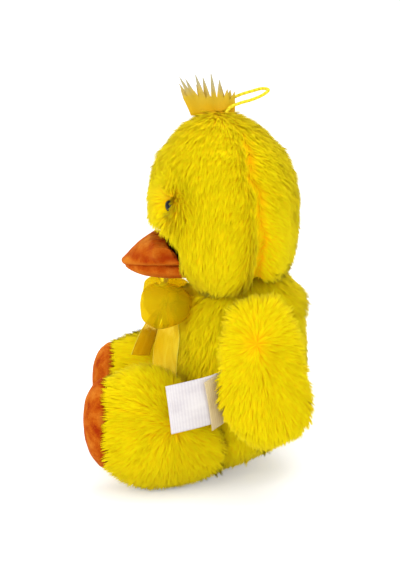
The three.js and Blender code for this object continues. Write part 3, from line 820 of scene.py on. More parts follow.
@dataclass
class Stuffing:
    """How a sewn skin is filled: remeshed evenly, blown up as cloth, and held to its size."""

    voxel: float = 4.6 * MM
    pressure: float = 4.0
    frames: int = 16
    cap: float = 2.4 * MM  # the furthest that the filling moves a point
    bending: float = 1.0
    cloth_mass: float = 0.2
    relax: float = 0.5
    reach: float = 25 * MM  # how far off the skin the cover is looked for

    def fill(self, skin: bpy.types.Object) -> bpy.types.Object:
        """Remeshes a closed skin and swells it.

        Args:
            skin: The closed skin, a little smaller than the filled piece.

        Returns:
            The same object, filled, with no modifier left.
        """
        modified(skin, "REMESH", mode="VOXEL", voxel_size=self.voxel, use_smooth_shade=True)
        modified(skin, "SMOOTH", factor=self.relax, iterations=3)
        self._blow(skin)
        return skin

    def seat(self, skin: bpy.types.Object, cover: bpy.types.Object, depth: float,
             most: float) -> None:
        """Lets a filled skin out until it lies evenly under the surface of its CAD cover.

        Args:
            skin: The filled skin.
            cover: A welded copy of the cover's CAD node.
            depth: How far the skin lies below the cover's surface.
            most: The furthest that any point moves.
        """
        tree = tree_of(cover)
        places, normals = coordinates(skin.data), normals_of(skin.data)
        moves = np.zeros(len(places))
        for i, (place, normal) in enumerate(zip(places, normals)):
            outside = Vector(place + normal * self.reach)
            hit = tree.ray_cast(outside, Vector(-normal), self.reach + 5 * MM)
            if hit[3] is not None:
                moves[i] = np.clip(self.reach - hit[3] - depth, 0, most)
        set_coordinates(skin.data, places + normals * moves[:, None])
        modified(skin, "SMOOTH", factor=self.relax, iterations=2)

    def _blow(self, skin: bpy.types.Object) -> None:
        """Runs the cloth simulation and keeps each point within the cap.

        Args:
            skin: The skin, with no modifier.
        """
        before = coordinates(skin.data)
        cloth = skin.modifiers.new("fill", "CLOTH")
        settings = cloth.settings
        settings.quality = 4
        settings.mass = self.cloth_mass
        settings.bending_stiffness = self.bending
        settings.use_pressure = True
        settings.uniform_pressure_force = self.pressure
        settings.effector_weights.gravity = 0
        cloth.collision_settings.use_collision = False
        cloth.point_cache.frame_start, cloth.point_cache.frame_end = 1, self.frames
        scene = bpy.context.scene
        for step in range(1, self.frames + 1):
            scene.frame_set(step)
        evaluated = skin.evaluated_get(bpy.context.evaluated_depsgraph_get())
        after = coordinates(evaluated.data)
        skin.modifiers.clear()
        scene.frame_set(1)
        move = after - before
        length = np.linalg.norm(move, axis=1, keepdims=True)
        held = np.minimum(1, self.cap / np.maximum(length, 1e-9))
        set_coordinates(skin.data, before + move * held)


@dataclass
class Comb:
    """How the pile lies at some points: which way, how far it leans, and its length."""

    way: np.ndarray
    lean: np.ndarray
    length: np.ndarray


@dataclass
class Avoid:
    """A surface that the pile stays clear of, and the share of the way there that a lock takes."""

    tree: BVHTree
    share: float
    low: np.ndarray
    high: np.ndarray

    @classmethod
    def of(cls, piece: bpy.types.Object, share: float) -> Avoid:
        """Takes a piece's surface as it is now.

        Args:
            piece: The piece.
            share: The share of the way to it that a lock may take.

        Returns:
            What the pile avoids.
        """
        places = coordinates(piece.data)
        return cls(tree_of(piece), share, places.min(0), places.max(0))

    def near(self, places: np.ndarray, reach: float) -> np.ndarray:
        """The numbers of the places that lie within reach of the surface's box."""
        return np.flatnonzero(((places > self.low - reach) & (places < self.high + reach)).all(1))


@dataclass
class Pile:
    """Long pile, grown as one closed surface: each small face of the skin rises into a fine lock.

    Locks of a clump draw together at their tips, as combed polyester pile does.
    """

    seed: int
    length: float = 12.5 * MM
    vary: float = 0.17
    clump: float = 1.9 * MM
    gather: float = 0.7
    stray: float = 0.13
    mixed: float = 0.3  # how far a lock's tint departs from its clump's
    even: float = 0.8  # how far a lock's shading follows the skin, as light through fibres does
    shortest: float = 0.6 * MM
    shake: float = 0.3 * MM
    face: float = 0.66 * MM**2  # area of the face that a lock grows from
    cells: int = 64
    lean_off: tuple[float, float] = (-0.16, 0.12)  # how far a lock's lean departs from the comb's
    gather_off: tuple[float, float] = (0.4, 1.3)  # and how unevenly the locks draw together
    gather_most: float = 0.9

    def grow(self, skin: bpy.types.Object, comb: Callable[[np.ndarray, np.ndarray], Comb],
             avoids: Sequence[Avoid]) -> bpy.types.Object:
        """Raises the locks on a skin.

        Args:
            skin: The filled skin, with no modifier.
            comb: Gives how the pile lies at points of the skin, from their places and normals.
            avoids: The surfaces that the locks stay clear of.

        Returns:
            The same object, with the pile as its mesh.
        """
        rng = np.random.default_rng(self.seed)
        self._refine(skin, rng)
        bm = bmesh.new()
        bm.from_mesh(skin.data)
        roots = np.array([f.calc_center_median() for f in bm.faces])
        normals = unit(np.array([sum((v.normal for v in f.verts), Vector()) for f in bm.faces]))
        laid = comb(roots, normals)
        tip, cell = self._locks(roots, normals, laid, avoids, rng)
        bmesh.ops.poke(bm, faces=bm.faces, center_mode="MEAN")
        mesh = bpy.data.meshes.new(skin.name)
        bm.to_mesh(mesh)
        bm.free()
        points = coordinates(mesh)
        feet = len(points) - len(roots)
        points[feet:] = roots + tip
        points[:, 2] = np.maximum(points[:, 2], FLOOR_CLEAR)
        set_coordinates(mesh, points)
        self._mark(mesh, feet, cell)
        mesh.shade_smooth()
        facing = normals_of(mesh) * (1 - self.even)
        facing[:feet] += normals_of(skin.data) * self.even
        facing[feet:] += normals * self.even
        mesh.normals_split_custom_set_from_vertices(unit(facing).tolist())
        skin.data = mesh
        return skin

    def _refine(self, skin: bpy.types.Object, rng: np.random.Generator) -> None:
        """Divides the skin twice, cuts it into triangles and shakes their corners.

        Args:
            skin: The filled skin.
            rng: The part's own numbers.
        """
        finer(skin, 2)
        bm = bmesh.new()
        bm.from_mesh(skin.data)
        bmesh.ops.triangulate(bm, faces=bm.faces)
        bm.to_mesh(skin.data)
        bm.free()
        places, normals = coordinates(skin.data), normals_of(skin.data)
        shake = rng.uniform(-self.shake, self.shake, places.shape)
        shake -= normals * (shake * normals).sum(1, keepdims=True)
        set_coordinates(skin.data, places + shake)

    def _locks(self, roots: np.ndarray, normals: np.ndarray, laid: Comb, avoids: Sequence[Avoid],
               rng: np.random.Generator) -> tuple[np.ndarray, np.ndarray]:
        """Works out how far each lock's tip is from its root, and its tint.

        Args:
            roots: The middle of each face of the skin.
            normals: The skin's normal there.
            laid: How the pile is combed there.
            avoids: The surfaces that the locks stay clear of.
            rng: The part's own numbers.

        Returns:
            The way from each root to its tip, and the number of each lock's tint.
        """
        count = len(roots)
        way = unit(laid.way - normals * (laid.way * normals).sum(1, keepdims=True))
        way = way + rng.normal(0, self.stray, (count, 3))
        way = unit(way - normals * (way * normals).sum(1, keepdims=True))
        lean = laid.lean + rng.uniform(*self.lean_off, count)
        length = self.length * laid.length * rng.uniform(1 - self.vary, 1 + self.vary, count)
        tip = (normals * np.cos(lean)[:, None] + way * np.sin(lean)[:, None]) * length[:, None]
        heads = np.flatnonzero(rng.random(count) < self.face / self.clump**2)
        finder = KDTree(len(heads))
        for i, head in enumerate(heads):
            finder.insert(roots[head], i)
        finder.balance()
        nearest = heads[[finder.find(root)[1] for root in roots]]
        goal = roots[nearest] + tip[nearest] - roots
        near = np.linalg.norm(roots[nearest] - roots, axis=1) < 2 * self.clump
        pull = (self.gather * rng.uniform(*self.gather_off, count) * near)[:, None]
        tip = tip + (goal - tip) * np.minimum(pull, self.gather_most)
        reach = np.linalg.norm(tip, axis=1)
        keep = np.ones(count)
        ahead = unit(tip)
        for avoid in avoids:
            for i in avoid.near(roots, 2 * self.length / avoid.share):
                hit = avoid.tree.ray_cast(roots[i], ahead[i], reach[i] / avoid.share)
                if hit[3] is not None and reach[i] > 0:
                    keep[i] = min(keep[i], max(hit[3] * avoid.share, self.shortest) / reach[i])
        tint = rng.random(count)[nearest] * (1 - self.mixed) + rng.random(count) * self.mixed
        return tip * np.minimum(keep, 1)[:, None], (tint * self.cells).astype(int) % self.cells

    def _mark(self, mesh: bpy.types.Mesh, feet: int, tints: np.ndarray) -> None:
        """Writes how far up its lock each point is, each lock's tint, and a map for baking.

        Args:
            mesh: The pile's mesh.
            feet: How many of its vertices are the skin's. The rest are tips.
            tints: The number of each lock's tint.
        """
        height = np.zeros(len(mesh.vertices), np.float32)
        height[feet:] = 1
        mark(mesh, "pile_t", height)
        corners = corners_of(mesh).reshape(-1, 3)
        cell = tints[corners.max(1) - feet]
        mark(mesh, "lock", (cell + 0.5) / self.cells, "FACE")
        across = cell[:, None] + np.array([0.15, 0.5, 0.85])
        lay_map(mesh, np.stack([across / self.cells, 0.02 + 0.96 * height[corners]], 2))


# The stuffed body.


@dataclass
class Stuffed:
    """A stuffed part in long pile that stands for a CAD cover and the stuffing in it."""

    name: str
    body: str
    seed: int
    fill: float = 0.7
    pile_high: float = 5 * MM
    let_out: float = 7 * MM
    lean: float = 1.22  # radians off the skin's normal
    pile: Pile = field(init=False)
    skin: bpy.types.Object = field(init=False)

    def __post_init__(self) -> None:
        """Gives the part its own pile."""
        self.pile = Pile(self.seed)

    def make_skin(self) -> None:
        """Fills a copy of the CAD stuffing, which lies just under the pile's back."""
        filling = Stuffing()
        self.skin = filling.fill(copy_of(f"{self.name}_stuffing", f"{self.name}_pile"))
        cover = copy_of(f"{self.name}_cover", "cover")
        filling.seat(self.skin, cover, self.pile_high, self.let_out)
        bpy.data.objects.remove(cover)

    def comb(self, places: np.ndarray, normals: np.ndarray) -> Comb:
        """Lies the pile down the part. Parts that are combed otherwise replace this.

        Args:
            places: Points of the skin.
            normals: The skin's normals there.

        Returns:
            How the pile lies at each point.
        """
        way = np.broadcast_to(np.array([0.0, 0.0, -1.0]), places.shape)
        return Comb(way, np.full(len(places), self.lean), np.ones(len(places)))

    def dress(self, avoids: Sequence[Avoid], material: bpy.types.Material) -> bpy.types.Object:
        """Grows the pile and seats the piece.

        Args:
            avoids: What the pile stays clear of.
            material: The pile's material.

        Returns:
            The piece.
        """
        piece = self.pile.grow(self.skin, self.comb, avoids)
        seated(piece, material, self.body, "pile", f"{self.name}_cover", f"{self.name}_stuffing")
        piece.shadow_terminator_geometry_offset = 1.0  # locks pass light on to their neighbours
        return piece


@dataclass
class Torso(Stuffed):
    """The body, whose pile hangs down all round."""

    name: str = "torso"
    body: str = "torso"
    seed: int = 11
    pile_high: float = 3.5 * MM
    lean_more: float = 0.06
    neck: float = 156 * MM
    neck_band: float = 12 * MM
    neck_puff: float = 0.3  # how much longer the pile is there, and how much it leans less

    def comb(self, places: np.ndarray, normals: np.ndarray) -> Comb:
        """Hangs the pile down the body, thicker where it falls over the collar.

        Args:
            places: Points of the skin.
            normals: The skin's normals there.

        Returns:
            How the pile lies at each point.
        """
        laid = super().comb(places, normals)
        over = bell(places[:, 2] - self.neck, self.neck_band)
        laid.lean += self.lean_more - self.neck_puff * over
        laid.length += self.neck_puff * over
        return laid


@dataclass
class Head(Stuffed):
    """The head, sewn from two cheeks and a back panel that meet in a deep seam on each side."""

    name: str = "head"
    body: str = "head"
    seed: int = 12
    seam: tuple[tuple[float, float], ...] = (
        (14, 312), (20, 305), (29.5, 280), (30, 262), (38, 252), (38, 234),
        (41.5, 217), (42.5, 212), (38.5, 187), (35.5, 172), (34, 160))
    seam_low: float = 215 * MM  # below this the seam is drawn in to a fold
    seam_side: float = 22 * MM  # how far from the middle plane the seams start
    eye: tuple[float, float, float] = (35.3 * MM, -34.7 * MM, 237 * MM)
    eye_bare: float = 5.3 * MM
    beak: tuple[float, float, float] = (0.0, -36 * MM, 190 * MM)
    muzzle: tuple[float, float, float] = (42 * MM, 27 * MM, 20 * MM)  # the beak's hollow, halved
    muzzle_up: float = 11 * MM
    muzzle_deep: float = 8 * MM
    crown: tuple[float, float, float] = (0.0, 4 * MM, 318 * MM)
    eye_parting: tuple[float, float] = (24 * MM, 1.5)  # how far a parting reaches, and its weight
    beak_parting: tuple[float, float] = (34 * MM, 1.2)
    crown_parting: tuple[float, float] = (34 * MM, 1.0)
    seam_parting: float = 22 * MM
    seam_short: float = 6 * MM
    seam_fold: float = 5 * MM
    seam_deep: tuple[float, float] = (2.2, 4.5)  # mm of the fold, and how much more low down
    crown_short: float = 0.18
    crown_from: tuple[float, float] = (270 * MM, 305 * MM)
    lean: float = 1.15
    eye_lift: float = 0.65  # how much less the pile leans behind an eye

    def make_skin(self) -> None:
        """Fills the head and draws the seams in."""
        super().make_skin()
        places, normals = coordinates(self.skin.data), normals_of(self.skin.data)
        off, _ = self._from_seam(places)
        low = 1 - ease(places[:, 2], self.seam_low - 12 * MM, self.seam_low + 14 * MM)
        deep, deeper = self.seam_deep
        fold = bell(off, self.seam_fold) * (deep + deeper * low) * MM * self._beside(places)
        fold += self.muzzle_deep * (1 - ease(self._snout(places), 0.8, 1.25))
        set_coordinates(self.skin.data, places - normals * fold[:, None])

    def _snout(self, places: np.ndarray) -> np.ndarray:
        """How far out each place is in the hollow round the beak, whose rim is at 1."""
        middle = np.array(self.beak) + [0, 0, self.muzzle_up]
        return np.linalg.norm((places - middle) / self.muzzle, axis=1)

    def _beside(self, places: np.ndarray) -> np.ndarray:
        """A weight of 1 on the head's sides that is 0 over its middle plane."""
        return ease(np.abs(places[:, 0]), self.seam_side * 0.6, self.seam_side * 1.4)

    def _from_seam(self, places: np.ndarray) -> tuple[np.ndarray, np.ndarray]:
        """Each place's distance from the seam as seen from the side, and the way off it.

        Args:
            places: The points.

        Returns:
            The distances, and a unit vector for each point.
        """
        best = np.full(len(places), 1e3)
        way = np.zeros((len(places), 3))
        points = np.array(self.seam) * MM
        for start, end in zip(points, points[1:]):
            run = end - start
            share = np.clip(((places[:, 1:] - start) @ run) / (run @ run), 0, 1)
            off = places[:, 1:] - (start + share[:, None] * run)
            far = np.linalg.norm(off, axis=1)
            nearer = far < best
            best[nearer] = far[nearer]
            way[nearer, 1:] = off[nearer]
        return best, unit(way)

    def comb(self, places: np.ndarray, normals: np.ndarray) -> Comb:
        """Combs the pile off the seams, the eyes, the beak and the crown, and down.

        Args:
            places: Points of the skin.
            normals: The skin's normals there.

        Returns:
            How the pile lies at each point.
        """
        off, from_seam = self._from_seam(places)
        beside = self._beside(places)
        mirrored = np.stack([np.abs(places[:, 0]), places[:, 1], places[:, 2]], 1)
        low = 1 - ease(places[:, 2], self.seam_low, self.seam_low + 45 * MM)
        way = np.tile([0.0, 0.0, -0.75], (len(places), 1))
        way += from_seam * ((0.6 + 0.65 * low) * bell(off, self.seam_parting) * beside)[:, None]
        length = 1 - (0.12 + 0.38 * low) * bell(off, self.seam_short) * beside
        for spot, (width, weight) in ((self.eye, self.eye_parting), (self.beak, self.beak_parting),
                                      (self.crown, self.crown_parting)):
            away = mirrored - np.array(spot)
            far = np.linalg.norm(away, axis=1)
            push = unit(away) * (weight * bell(far, width))[:, None]
            push[:, 0] *= np.where(places[:, 0] < 0, -1, 1)
            way += push
        far = np.linalg.norm(mirrored - np.array(self.eye), axis=1)
        behind = ease(places[:, 1] - self.eye[1], 0, 4 * MM) * bell(far, 11 * MM)
        thin = 0.55 + 0.5 * np.maximum(behind, ease(far, 6 * MM, 16 * MM))
        length *= np.where(far < self.eye_bare, 0, thin)
        length *= 0.35 + 0.65 * ease(self._snout(places), 0.9, 1.4)
        top = ease(places[:, 2], *self.crown_from)
        length *= 1 - self.crown_short * top
        lean = self.lean + 0.1 * ease(places[:, 2], 240 * MM, 300 * MM) + 0.06 * top
        return Comb(way, lean - self.eye_lift * behind, length)


@dataclass
class Limb(Stuffed):
    """An arm or a leg."""

    side: Side = Side.LEFT


@dataclass
class Arm(Limb):
    """An arm, whose pile parts at its outer middle and falls to its paw."""

    parting: tuple[float, float, float] = (108 * MM, 32 * MM, 128 * MM)
    parting_wide: float = 60 * MM
    lean: float = 1.15
    ruffle: float = 0.35  # how much less the pile leans at the shoulder's edge
    ruffle_more: float = 0.1  # and how much longer it is there
    shoulder: tuple[float, float] = (100 * MM, 140 * MM)

    def comb(self, places: np.ndarray, normals: np.ndarray) -> Comb:
        """Combs the pile off the parting and down.

        Args:
            places: Points of the skin.
            normals: The skin's normals there.

        Returns:
            How the pile lies at each point.
        """
        away = places - np.array(self.parting) * [self.side.value, 1, 1]
        far = np.linalg.norm(away, axis=1, keepdims=True)
        way = unit(away) * (0.5 + 0.5 * bell(far, self.parting_wide)) + [0, 0, -0.5]
        edge = 1 - ease(np.abs(normals[:, 0]), 0.2, 0.7)
        high = ease(places[:, 2], *self.shoulder)
        return Comb(way, self.lean - self.ruffle * edge * high, 1 + self.ruffle_more * edge * high)


@dataclass
class Leg(Limb):
    """A leg, whose pile spreads from its thigh and falls over the rim of the sole."""

    middle: tuple[float, float, float] = (62 * MM, -38 * MM, 52 * MM)
    sole_plane: float = -86 * MM
    over_sole: float = 1.2  # how strongly the pile is combed forwards over the sole
    lean: float = 0.4  # at the sole's rim
    lean_more: float = 0.75  # away from it
    rim_length: float = 0.8
    rim_more: float = 0.25

    def comb(self, places: np.ndarray, normals: np.ndarray) -> Comb:
        """Combs the pile outwards, down, and forwards over the sole.

        Args:
            places: Points of the skin.
            normals: The skin's normals there.

        Returns:
            How the pile lies at each point.
        """
        away = places - np.array(self.middle) * [self.side.value, 1, 1]
        ahead = 1 - ease(places[:, 1], self.sole_plane, self.sole_plane + 32 * MM)
        way = unit(away) * 0.7 + [0, 0, -0.25]
        way[:, 1] -= self.over_sole * ahead
        edge = ease(places[:, 1], self.sole_plane + 1 * MM, self.sole_plane + 9 * MM)
        bare = (normals[:, 1] < -0.6) & (places[:, 1] < self.sole_plane + 4 * MM)
        length = np.where(bare, 0, self.rim_length + self.rim_more * edge)
        return Comb(way, self.lean + self.lean_more * edge, length)


# Velour pads.


@dataclass
class VelourPad:
    """A stuffed velour piece that stands for a CAD solid of the same shape."""

    node: str
    body: str
    voxel: float = 2.6 * MM
    fill: float = 0.75
    inset: float = 0.3 * MM
    pucker: float = 0.35 * MM
    wrinkle: float = 9 * MM
    buried: float = 10 * MM  # how far a beak's base runs on into the pile
    base_facing: tuple[float, float] = (0.25, 0.75)  # from where its normals count as the base's

    @property
    def name(self) -> str:
        """The piece's name."""
        return f"{self.node}_velour"

    def shape(self, places: np.ndarray, normals: np.ndarray) -> tuple[np.ndarray, np.ndarray]:
        """Where the points go, and the painted light or shade there. Each pad has its own.

        Args:
            places: The pad's points.
            normals: Its normals there.

        Returns:
            The points where they go, and the painted light (above 0) or shade (below 0) at each,
            from -1 to 1.
        """
        return places, np.zeros(len(places))

    def build(self, material: bpy.types.Material) -> bpy.types.Object:
        """Fills, shapes and seats the pad.

        Args:
            material: The velour.

        Returns:
            The piece.
        """
        filling = Stuffing(voxel=self.voxel, cap=1.6 * MM, frames=12, bending=4.0)
        piece = filling.fill(copy_of(self.node, self.name))
        whole = copy_of(self.node, "whole")
        filling.seat(piece, whole, self.inset, 3 * MM)
        bpy.data.objects.remove(whole)
        finer(piece, 1)
        places, normals = coordinates(piece.data), normals_of(piece.data)
        wrinkles = np.array([noise.noise(Vector(place) / self.wrinkle) for place in places])
        places, shade = self.shape(places + normals * (wrinkles * self.pucker)[:, None], normals)
        set_coordinates(piece.data, places)
        # The shade attribute carries the pad's painted light and shade to the velour.
        mark(piece.data, "shade", shade)
        piece.data.shade_smooth()
        seated(piece, material, self.body, "velour", self.node)
        return piece


@dataclass
class UpperBeak(VelourPad):
    """The upper half of the beak, with a puffed lip along its lower edge."""

    lip: float = 184 * MM
    lip_rise: float = 3 * MM
    broad: float = 1.2  # how much wider the top of the base is filled than it is cut
    side: float = 38 * MM  # where the filling stops
    lip_high: float = 2.8 * MM
    base: float = -22 * MM
    relief: tuple[float, float, float] = (1.5, 1.0, 0.8)  # mm out at the lip, in over and under it
    painted_tones: tuple[float, float, float, float] = (0.7, 0.5, 0.5, 0.7)  # painted highlight on the lip; painted shade in the hollow above it, near the base and in the crease

    def shape(self, places: np.ndarray, normals: np.ndarray) -> tuple[np.ndarray, np.ndarray]:
        """Rolls the lip out, sinks the face above it and runs the base into the pile.

        Args:
            places: The pad's points.
            normals: Its normals there.

        Returns:
            The points where they go, and the painted light (above 0) or shade (below 0) at each,
            from -1 to 1.
        """
        near_base = ease(places[:, 1], self.base - 34 * MM, self.base - 8 * MM)
        out = normals * [1, 1, 0]
        lip = self.lip + self.lip_rise * near_base
        roll = bell(places[:, 2] - lip, self.lip_high)
        hollow = bell(places[:, 2] - lip - 6.5 * MM, 3.4 * MM)
        crease = bell(places[:, 2] - lip + 4 * MM, 1.6 * MM) * near_base
        rolled, sunk, creased = self.relief
        move = (rolled * roll - sunk * hollow - creased * crease) * MM
        places = places + out * move[:, None]
        high = ease(places[:, 2], self.lip, self.lip + 18 * MM)
        filled = places[:, 0] * (1 + self.broad * near_base * high)
        side = np.maximum(np.abs(places[:, 0]), self.side - 0.15 * (places[:, 2] - self.lip))
        places[:, 0] = np.clip(filled, -side, side)
        places[:, 1] += self.buried * ease(normals[:, 1], *self.base_facing)
        # Painted light and shade: the lip's roll is lit, and the hollow over it, the base and the
        # crease are shaded.
        lit, dim, dull, dark = self.painted_tones
        return places, lit * roll - dim * hollow - dull * near_base * (1 - roll) - dark * crease


@dataclass
class LowerBeak(VelourPad):
    """The lower half of the beak, tucked under the lip."""

    rim: float = 176 * MM
    root: tuple[float, float, float] = (0, -26 * MM, 180 * MM)
    grown: tuple[float, float, float] = (1.06, 1.13, 1)
    lift: float = 3.3 * MM
    # The first lifts the whole lower beak towards the light colour; the second is painted shade
    # under the lip, near the rim.
    tone: float = 0.35
    painted_shade_under_lip: float = 0.55

    def shape(self, places: np.ndarray, normals: np.ndarray) -> tuple[np.ndarray, np.ndarray]:
        """Brings the rim out to the lip, rounds the chin and runs the base into the pile.

        Args:
            places: The pad's points.
            normals: Its normals there.

        Returns:
            The points where they go, and at each a mix towards the light colour, less where painted
            shade falls under the lip, from -1 to 1.
        """
        under = ease(places[:, 2], self.rim - 2 * MM, self.rim + 3 * MM)
        places = (places - self.root) * self.grown + self.root
        places[:, 2] += self.lift
        places[:, 1] += self.buried * ease(normals[:, 1], *self.base_facing)
        # Painted shade under the lip, near the rim, on a nap lifted towards the light colour.
        return places, self.tone - self.painted_shade_under_lip * under


@dataclass
class Sole(VelourPad):
    """A foot's stuffed sole, puckered where its rim is sewn under the pile."""

    rim: float = -86 * MM
    gathers: int = 17
    gather_deep: float = 0.45 * MM
    tuck: float = 0.07  # the share by which the rim is drawn in
    # painted shade: how far the nap is darkened at the rim, under the overhanging pile
    tone: float = -0.75

    def shape(self, places: np.ndarray, normals: np.ndarray) -> tuple[np.ndarray, np.ndarray]:
        """Draws the rim in, gathers the cloth towards it and darkens it with painted shade.

        Args:
            places: The pad's points.
            normals: Its normals there.

        Returns:
            The points where they go, and the painted shade at each, darker towards the rim, from -1
            to 1.
        """
        centre = (places.max(0) + places.min(0)) / 2
        off = places - centre
        near_rim = 1 - ease(-places[:, 1], -self.rim, -self.rim + 8 * MM)
        angle = np.arctan2(off[:, 2], off[:, 0])
        pleat = np.cos(angle * self.gathers + 2 * np.sin(angle * 3)) * self.gather_deep
        tuck = 1 - self.tuck * near_rim
        drawn = off * np.stack([tuck, np.ones(len(tuck)), tuck], 1) + centre
        drawn += normals * (pleat * near_rim)[:, None]
        return drawn, self.tone * near_rim


# Eyes.


@dataclass
class Eye:
    """A domed safety eye in the pile."""

    side: Side
    radius: float = 5 * MM
    rim: float = 1.2 * MM
    dome: float = 2.6 * MM
    shank: float = 7 * MM
    shank_radius: float = 1.6 * MM
    facing: float = -55.43  # degrees round from the duck's left
    steps: int = 10

    def build(self, material: bpy.types.Material) -> bpy.types.Object:
        """Turns the eye's profile and sets it where the CAD eye is.

        Args:
            material: The eye's plastic.

        Returns:
            The piece.
        """
        node = f"{self.side.word}_eye"
        turn = math.radians(self.facing if self.side is Side.LEFT else 180 - self.facing)
        axis = np.array([math.cos(turn), math.sin(turn), 0])
        solid = coordinates(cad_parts[node].data)
        front = (solid @ axis).max() - self.rim - self.dome
        middle = (solid.max(0) + solid.min(0)) / 2
        seat = middle + axis * (front - middle @ axis)
        bm = bmesh.new()
        outline = [(0, -self.shank), (self.shank_radius, -self.shank), (self.shank_radius, 0),
                   (self.radius - 0.4 * MM, 0), (self.radius, 0.4 * MM), (self.radius, self.rim)]
        for step in range(1, self.steps + 1):
            angle = step / self.steps * math.pi / 2
            outline.append((self.radius * math.cos(angle) * 0.98,
                            self.rim + self.dome * math.sin(angle)))
        verts = [bm.verts.new((r if r > 1e-7 else 0, 0, z)) for r, z in outline]
        edges = [bm.edges.new(pair) for pair in zip(verts, verts[1:])]
        bmesh.ops.spin(bm, geom=verts + edges, cent=(0, 0, 0), axis=(0, 0, 1), angle=2 * math.pi,
                       steps=40, use_merge=True)
        bmesh.ops.remove_doubles(bm, verts=bm.verts, dist=0.002 * MM)
        bmesh.ops.recalc_face_normals(bm, faces=bm.faces)
        turned = Vector((0, 0, 1)).rotation_difference(Vector(axis)).to_matrix().to_4x4()
        bmesh.ops.transform(bm, matrix=Matrix.Translation(Vector(seat)) @ turned, verts=bm.verts)
        piece = finished(bm, f"{node}_dome", smooth=True)
        return seated(piece, material, "head", "eye", node)


# Crown.


@dataclass
class Fringe:
    """The stiff sheer fringe: two layers cut into long points, in the crown's seam."""

    node: str = "head_tuft"
    front: float = -27.6 * MM
    foot: float = 306 * MM
    long: float = 47 * MM
    high: float = 36 * MM
    thick: float = 0.3 * MM
    spread: float = 0.4  # how far the points fan out over the foot
    foot_span: tuple[float, float] = (0.2, 0.97)
    upright: float = 0.72  # the share along it where the fringe stands straight up
    layers: tuple[float, float] = (0.5 * MM, -1.1 * MM)  # how far each layer is off the middle
    waves: float = 17.0
    wave: float = 1.5 * MM
    columns: int = 168
    rows: int = 10
    points: tuple[tuple[float, float], ...] = (
        (0, 0.38), (0.04, 0.6), (0.09, 0.44), (0.13, 0.9), (0.2, 0.42), (0.25, 0.58), (0.3, 0.4),
        (0.36, 0.96), (0.42, 0.38), (0.47, 0.55), (0.52, 0.42), (0.57, 1.0), (0.62, 0.4),
        (0.68, 0.84), (0.74, 0.4), (0.8, 0.62), (0.86, 0.36), (0.93, 0.56), (1, 0.1))
    second: tuple[tuple[float, float], ...] = (
        (0, 0.3), (0.07, 0.74), (0.14, 0.34), (0.2, 0.86), (0.27, 0.36), (0.32, 0.72), (0.39, 0.4),
        (0.45, 0.9), (0.51, 0.36), (0.56, 0.62), (0.63, 0.38), (0.7, 0.7), (0.78, 0.34),
        (0.85, 0.6), (0.93, 0.3), (1, 0.06))

    def build(self, material: bpy.types.Material) -> bpy.types.Object:
        """Cuts both layers, fans them out and gives them their thickness.

        Args:
            material: The stiff organza.

        Returns:
            The piece.
        """
        layers = []
        for points, out in zip((self.points, self.second), self.layers):
            across, tall = zip(*points)

            def place(u: float, v: float) -> Vector:
                """The point at share u and v of the surface.

                Args:
                    u: The share of the way along.
                    v: The share of the way across.

                Returns:
                    The point.
                """
                up = v * float(np.interp(u, across, tall))
                start, end = self.foot_span
                back = start + (end - start) * u
                back += (u - self.upright) * self.spread * up * (1 + 0.5 * up)
                wave = math.sin(u * self.waves + out * 900) * (0.3 + up) * self.wave
                return Vector((out + wave, self.front + back * self.long,
                               self.foot + up * self.high))

            layers.append(surface(f"{self.node}_layer", self.columns, self.rows, place))
        bm = bmesh.new()
        for layer in layers:
            bm.from_mesh(layer.data)
            bpy.data.objects.remove(layer)
        piece = thickened(finished(bm, f"{self.node}_organza", smooth=True), self.thick)
        mark(piece.data, "up", (coordinates(piece.data)[:, 2] - self.foot) / self.high)
        seated(piece, material, "head", "fringe", self.node)
        area = sum(self._area(points) for points in (self.points, self.second))
        return piece

    def _area(self, points: Sequence[tuple[float, float]]) -> float:
        """The flat area of one layer in square metres.

        Args:
            points: The layer's outline, as shares across it and up it.

        Returns:
            The area.
        """
        wide = (self.foot_span[1] - self.foot_span[0] + self.spread * 0.4) * self.long
        strips = ((b[0] - a[0]) * (a[1] + b[1]) / 2 for a, b in zip(points, points[1:]))
        return sum(strips) * wide * self.high


@dataclass
class HangingLoop:
    """The braided loop of satin cord, sewn into the crown."""

    node: str = "hanging_loop"
    wide: float = 11.5 * MM
    long: float = 36 * MM
    rise: float = 18 * MM
    root: tuple[float, float] = (10 * MM, 309 * MM)
    radius: float = 1.3 * MM
    shares: tuple[tuple[float, float, float], ...] = (
        (0.45, 0, 0), (0.45, 0.11, 0.36), (0.48, 0.33, 0.58), (0.5, 0.61, 0.75),
        (0.39, 0.86, 0.92), (0, 1, 1))
    braid: int = 52  # turns of the braid's strands over the whole loop
    bumps: tuple[float, float] = (0.1, 0.07)  # how far the strands of each turn stand out
    roll: float = 0.5  # how far the loop lies over to one side
    steps: int = 260
    lanes: int = 14

    def build(self, material: bpy.types.Material) -> bpy.types.Object:
        """Sweeps the cord round its loop with the bumps of its braid.

        Args:
            material: The satin cord.

        Returns:
            The piece.
        """
        side = [Vector((out * self.wide, self.root[0] + far * self.long,
                        self.root[1] + up * self.rise)) for out, far, up in self.shares]
        route = side + [Vector((-p.x, p.y, p.z)) for p in side[-2::-1]]
        for point in route:
            point.z -= point.x * self.roll

        def place(u: float, v: float) -> Vector:
            """The point at share u and v of the surface.

            Args:
                u: The share of the way along.
                v: The share of the way across.

            Returns:
                The point.
            """
            at = along(route, u)
            ahead = heading(route, u)
            out = ahead.cross(UP).normalized()
            turn = v * 2 * math.pi
            bump = 1 + self.bumps[0] * math.sin(2 * turn + u * self.braid * 2 * math.pi)
            bump *= 1 + self.bumps[1] * math.sin(2 * turn - u * self.braid * 2 * math.pi)
            round_it = out * math.cos(turn) + out.cross(ahead) * math.sin(turn)
            return at + round_it * self.radius * bump

        piece = surface(f"{self.node}_cord", self.steps, self.lanes, place, close=True)
        return seated(piece, material, "loop", "cord", self.node)


# Ribbon and labels.


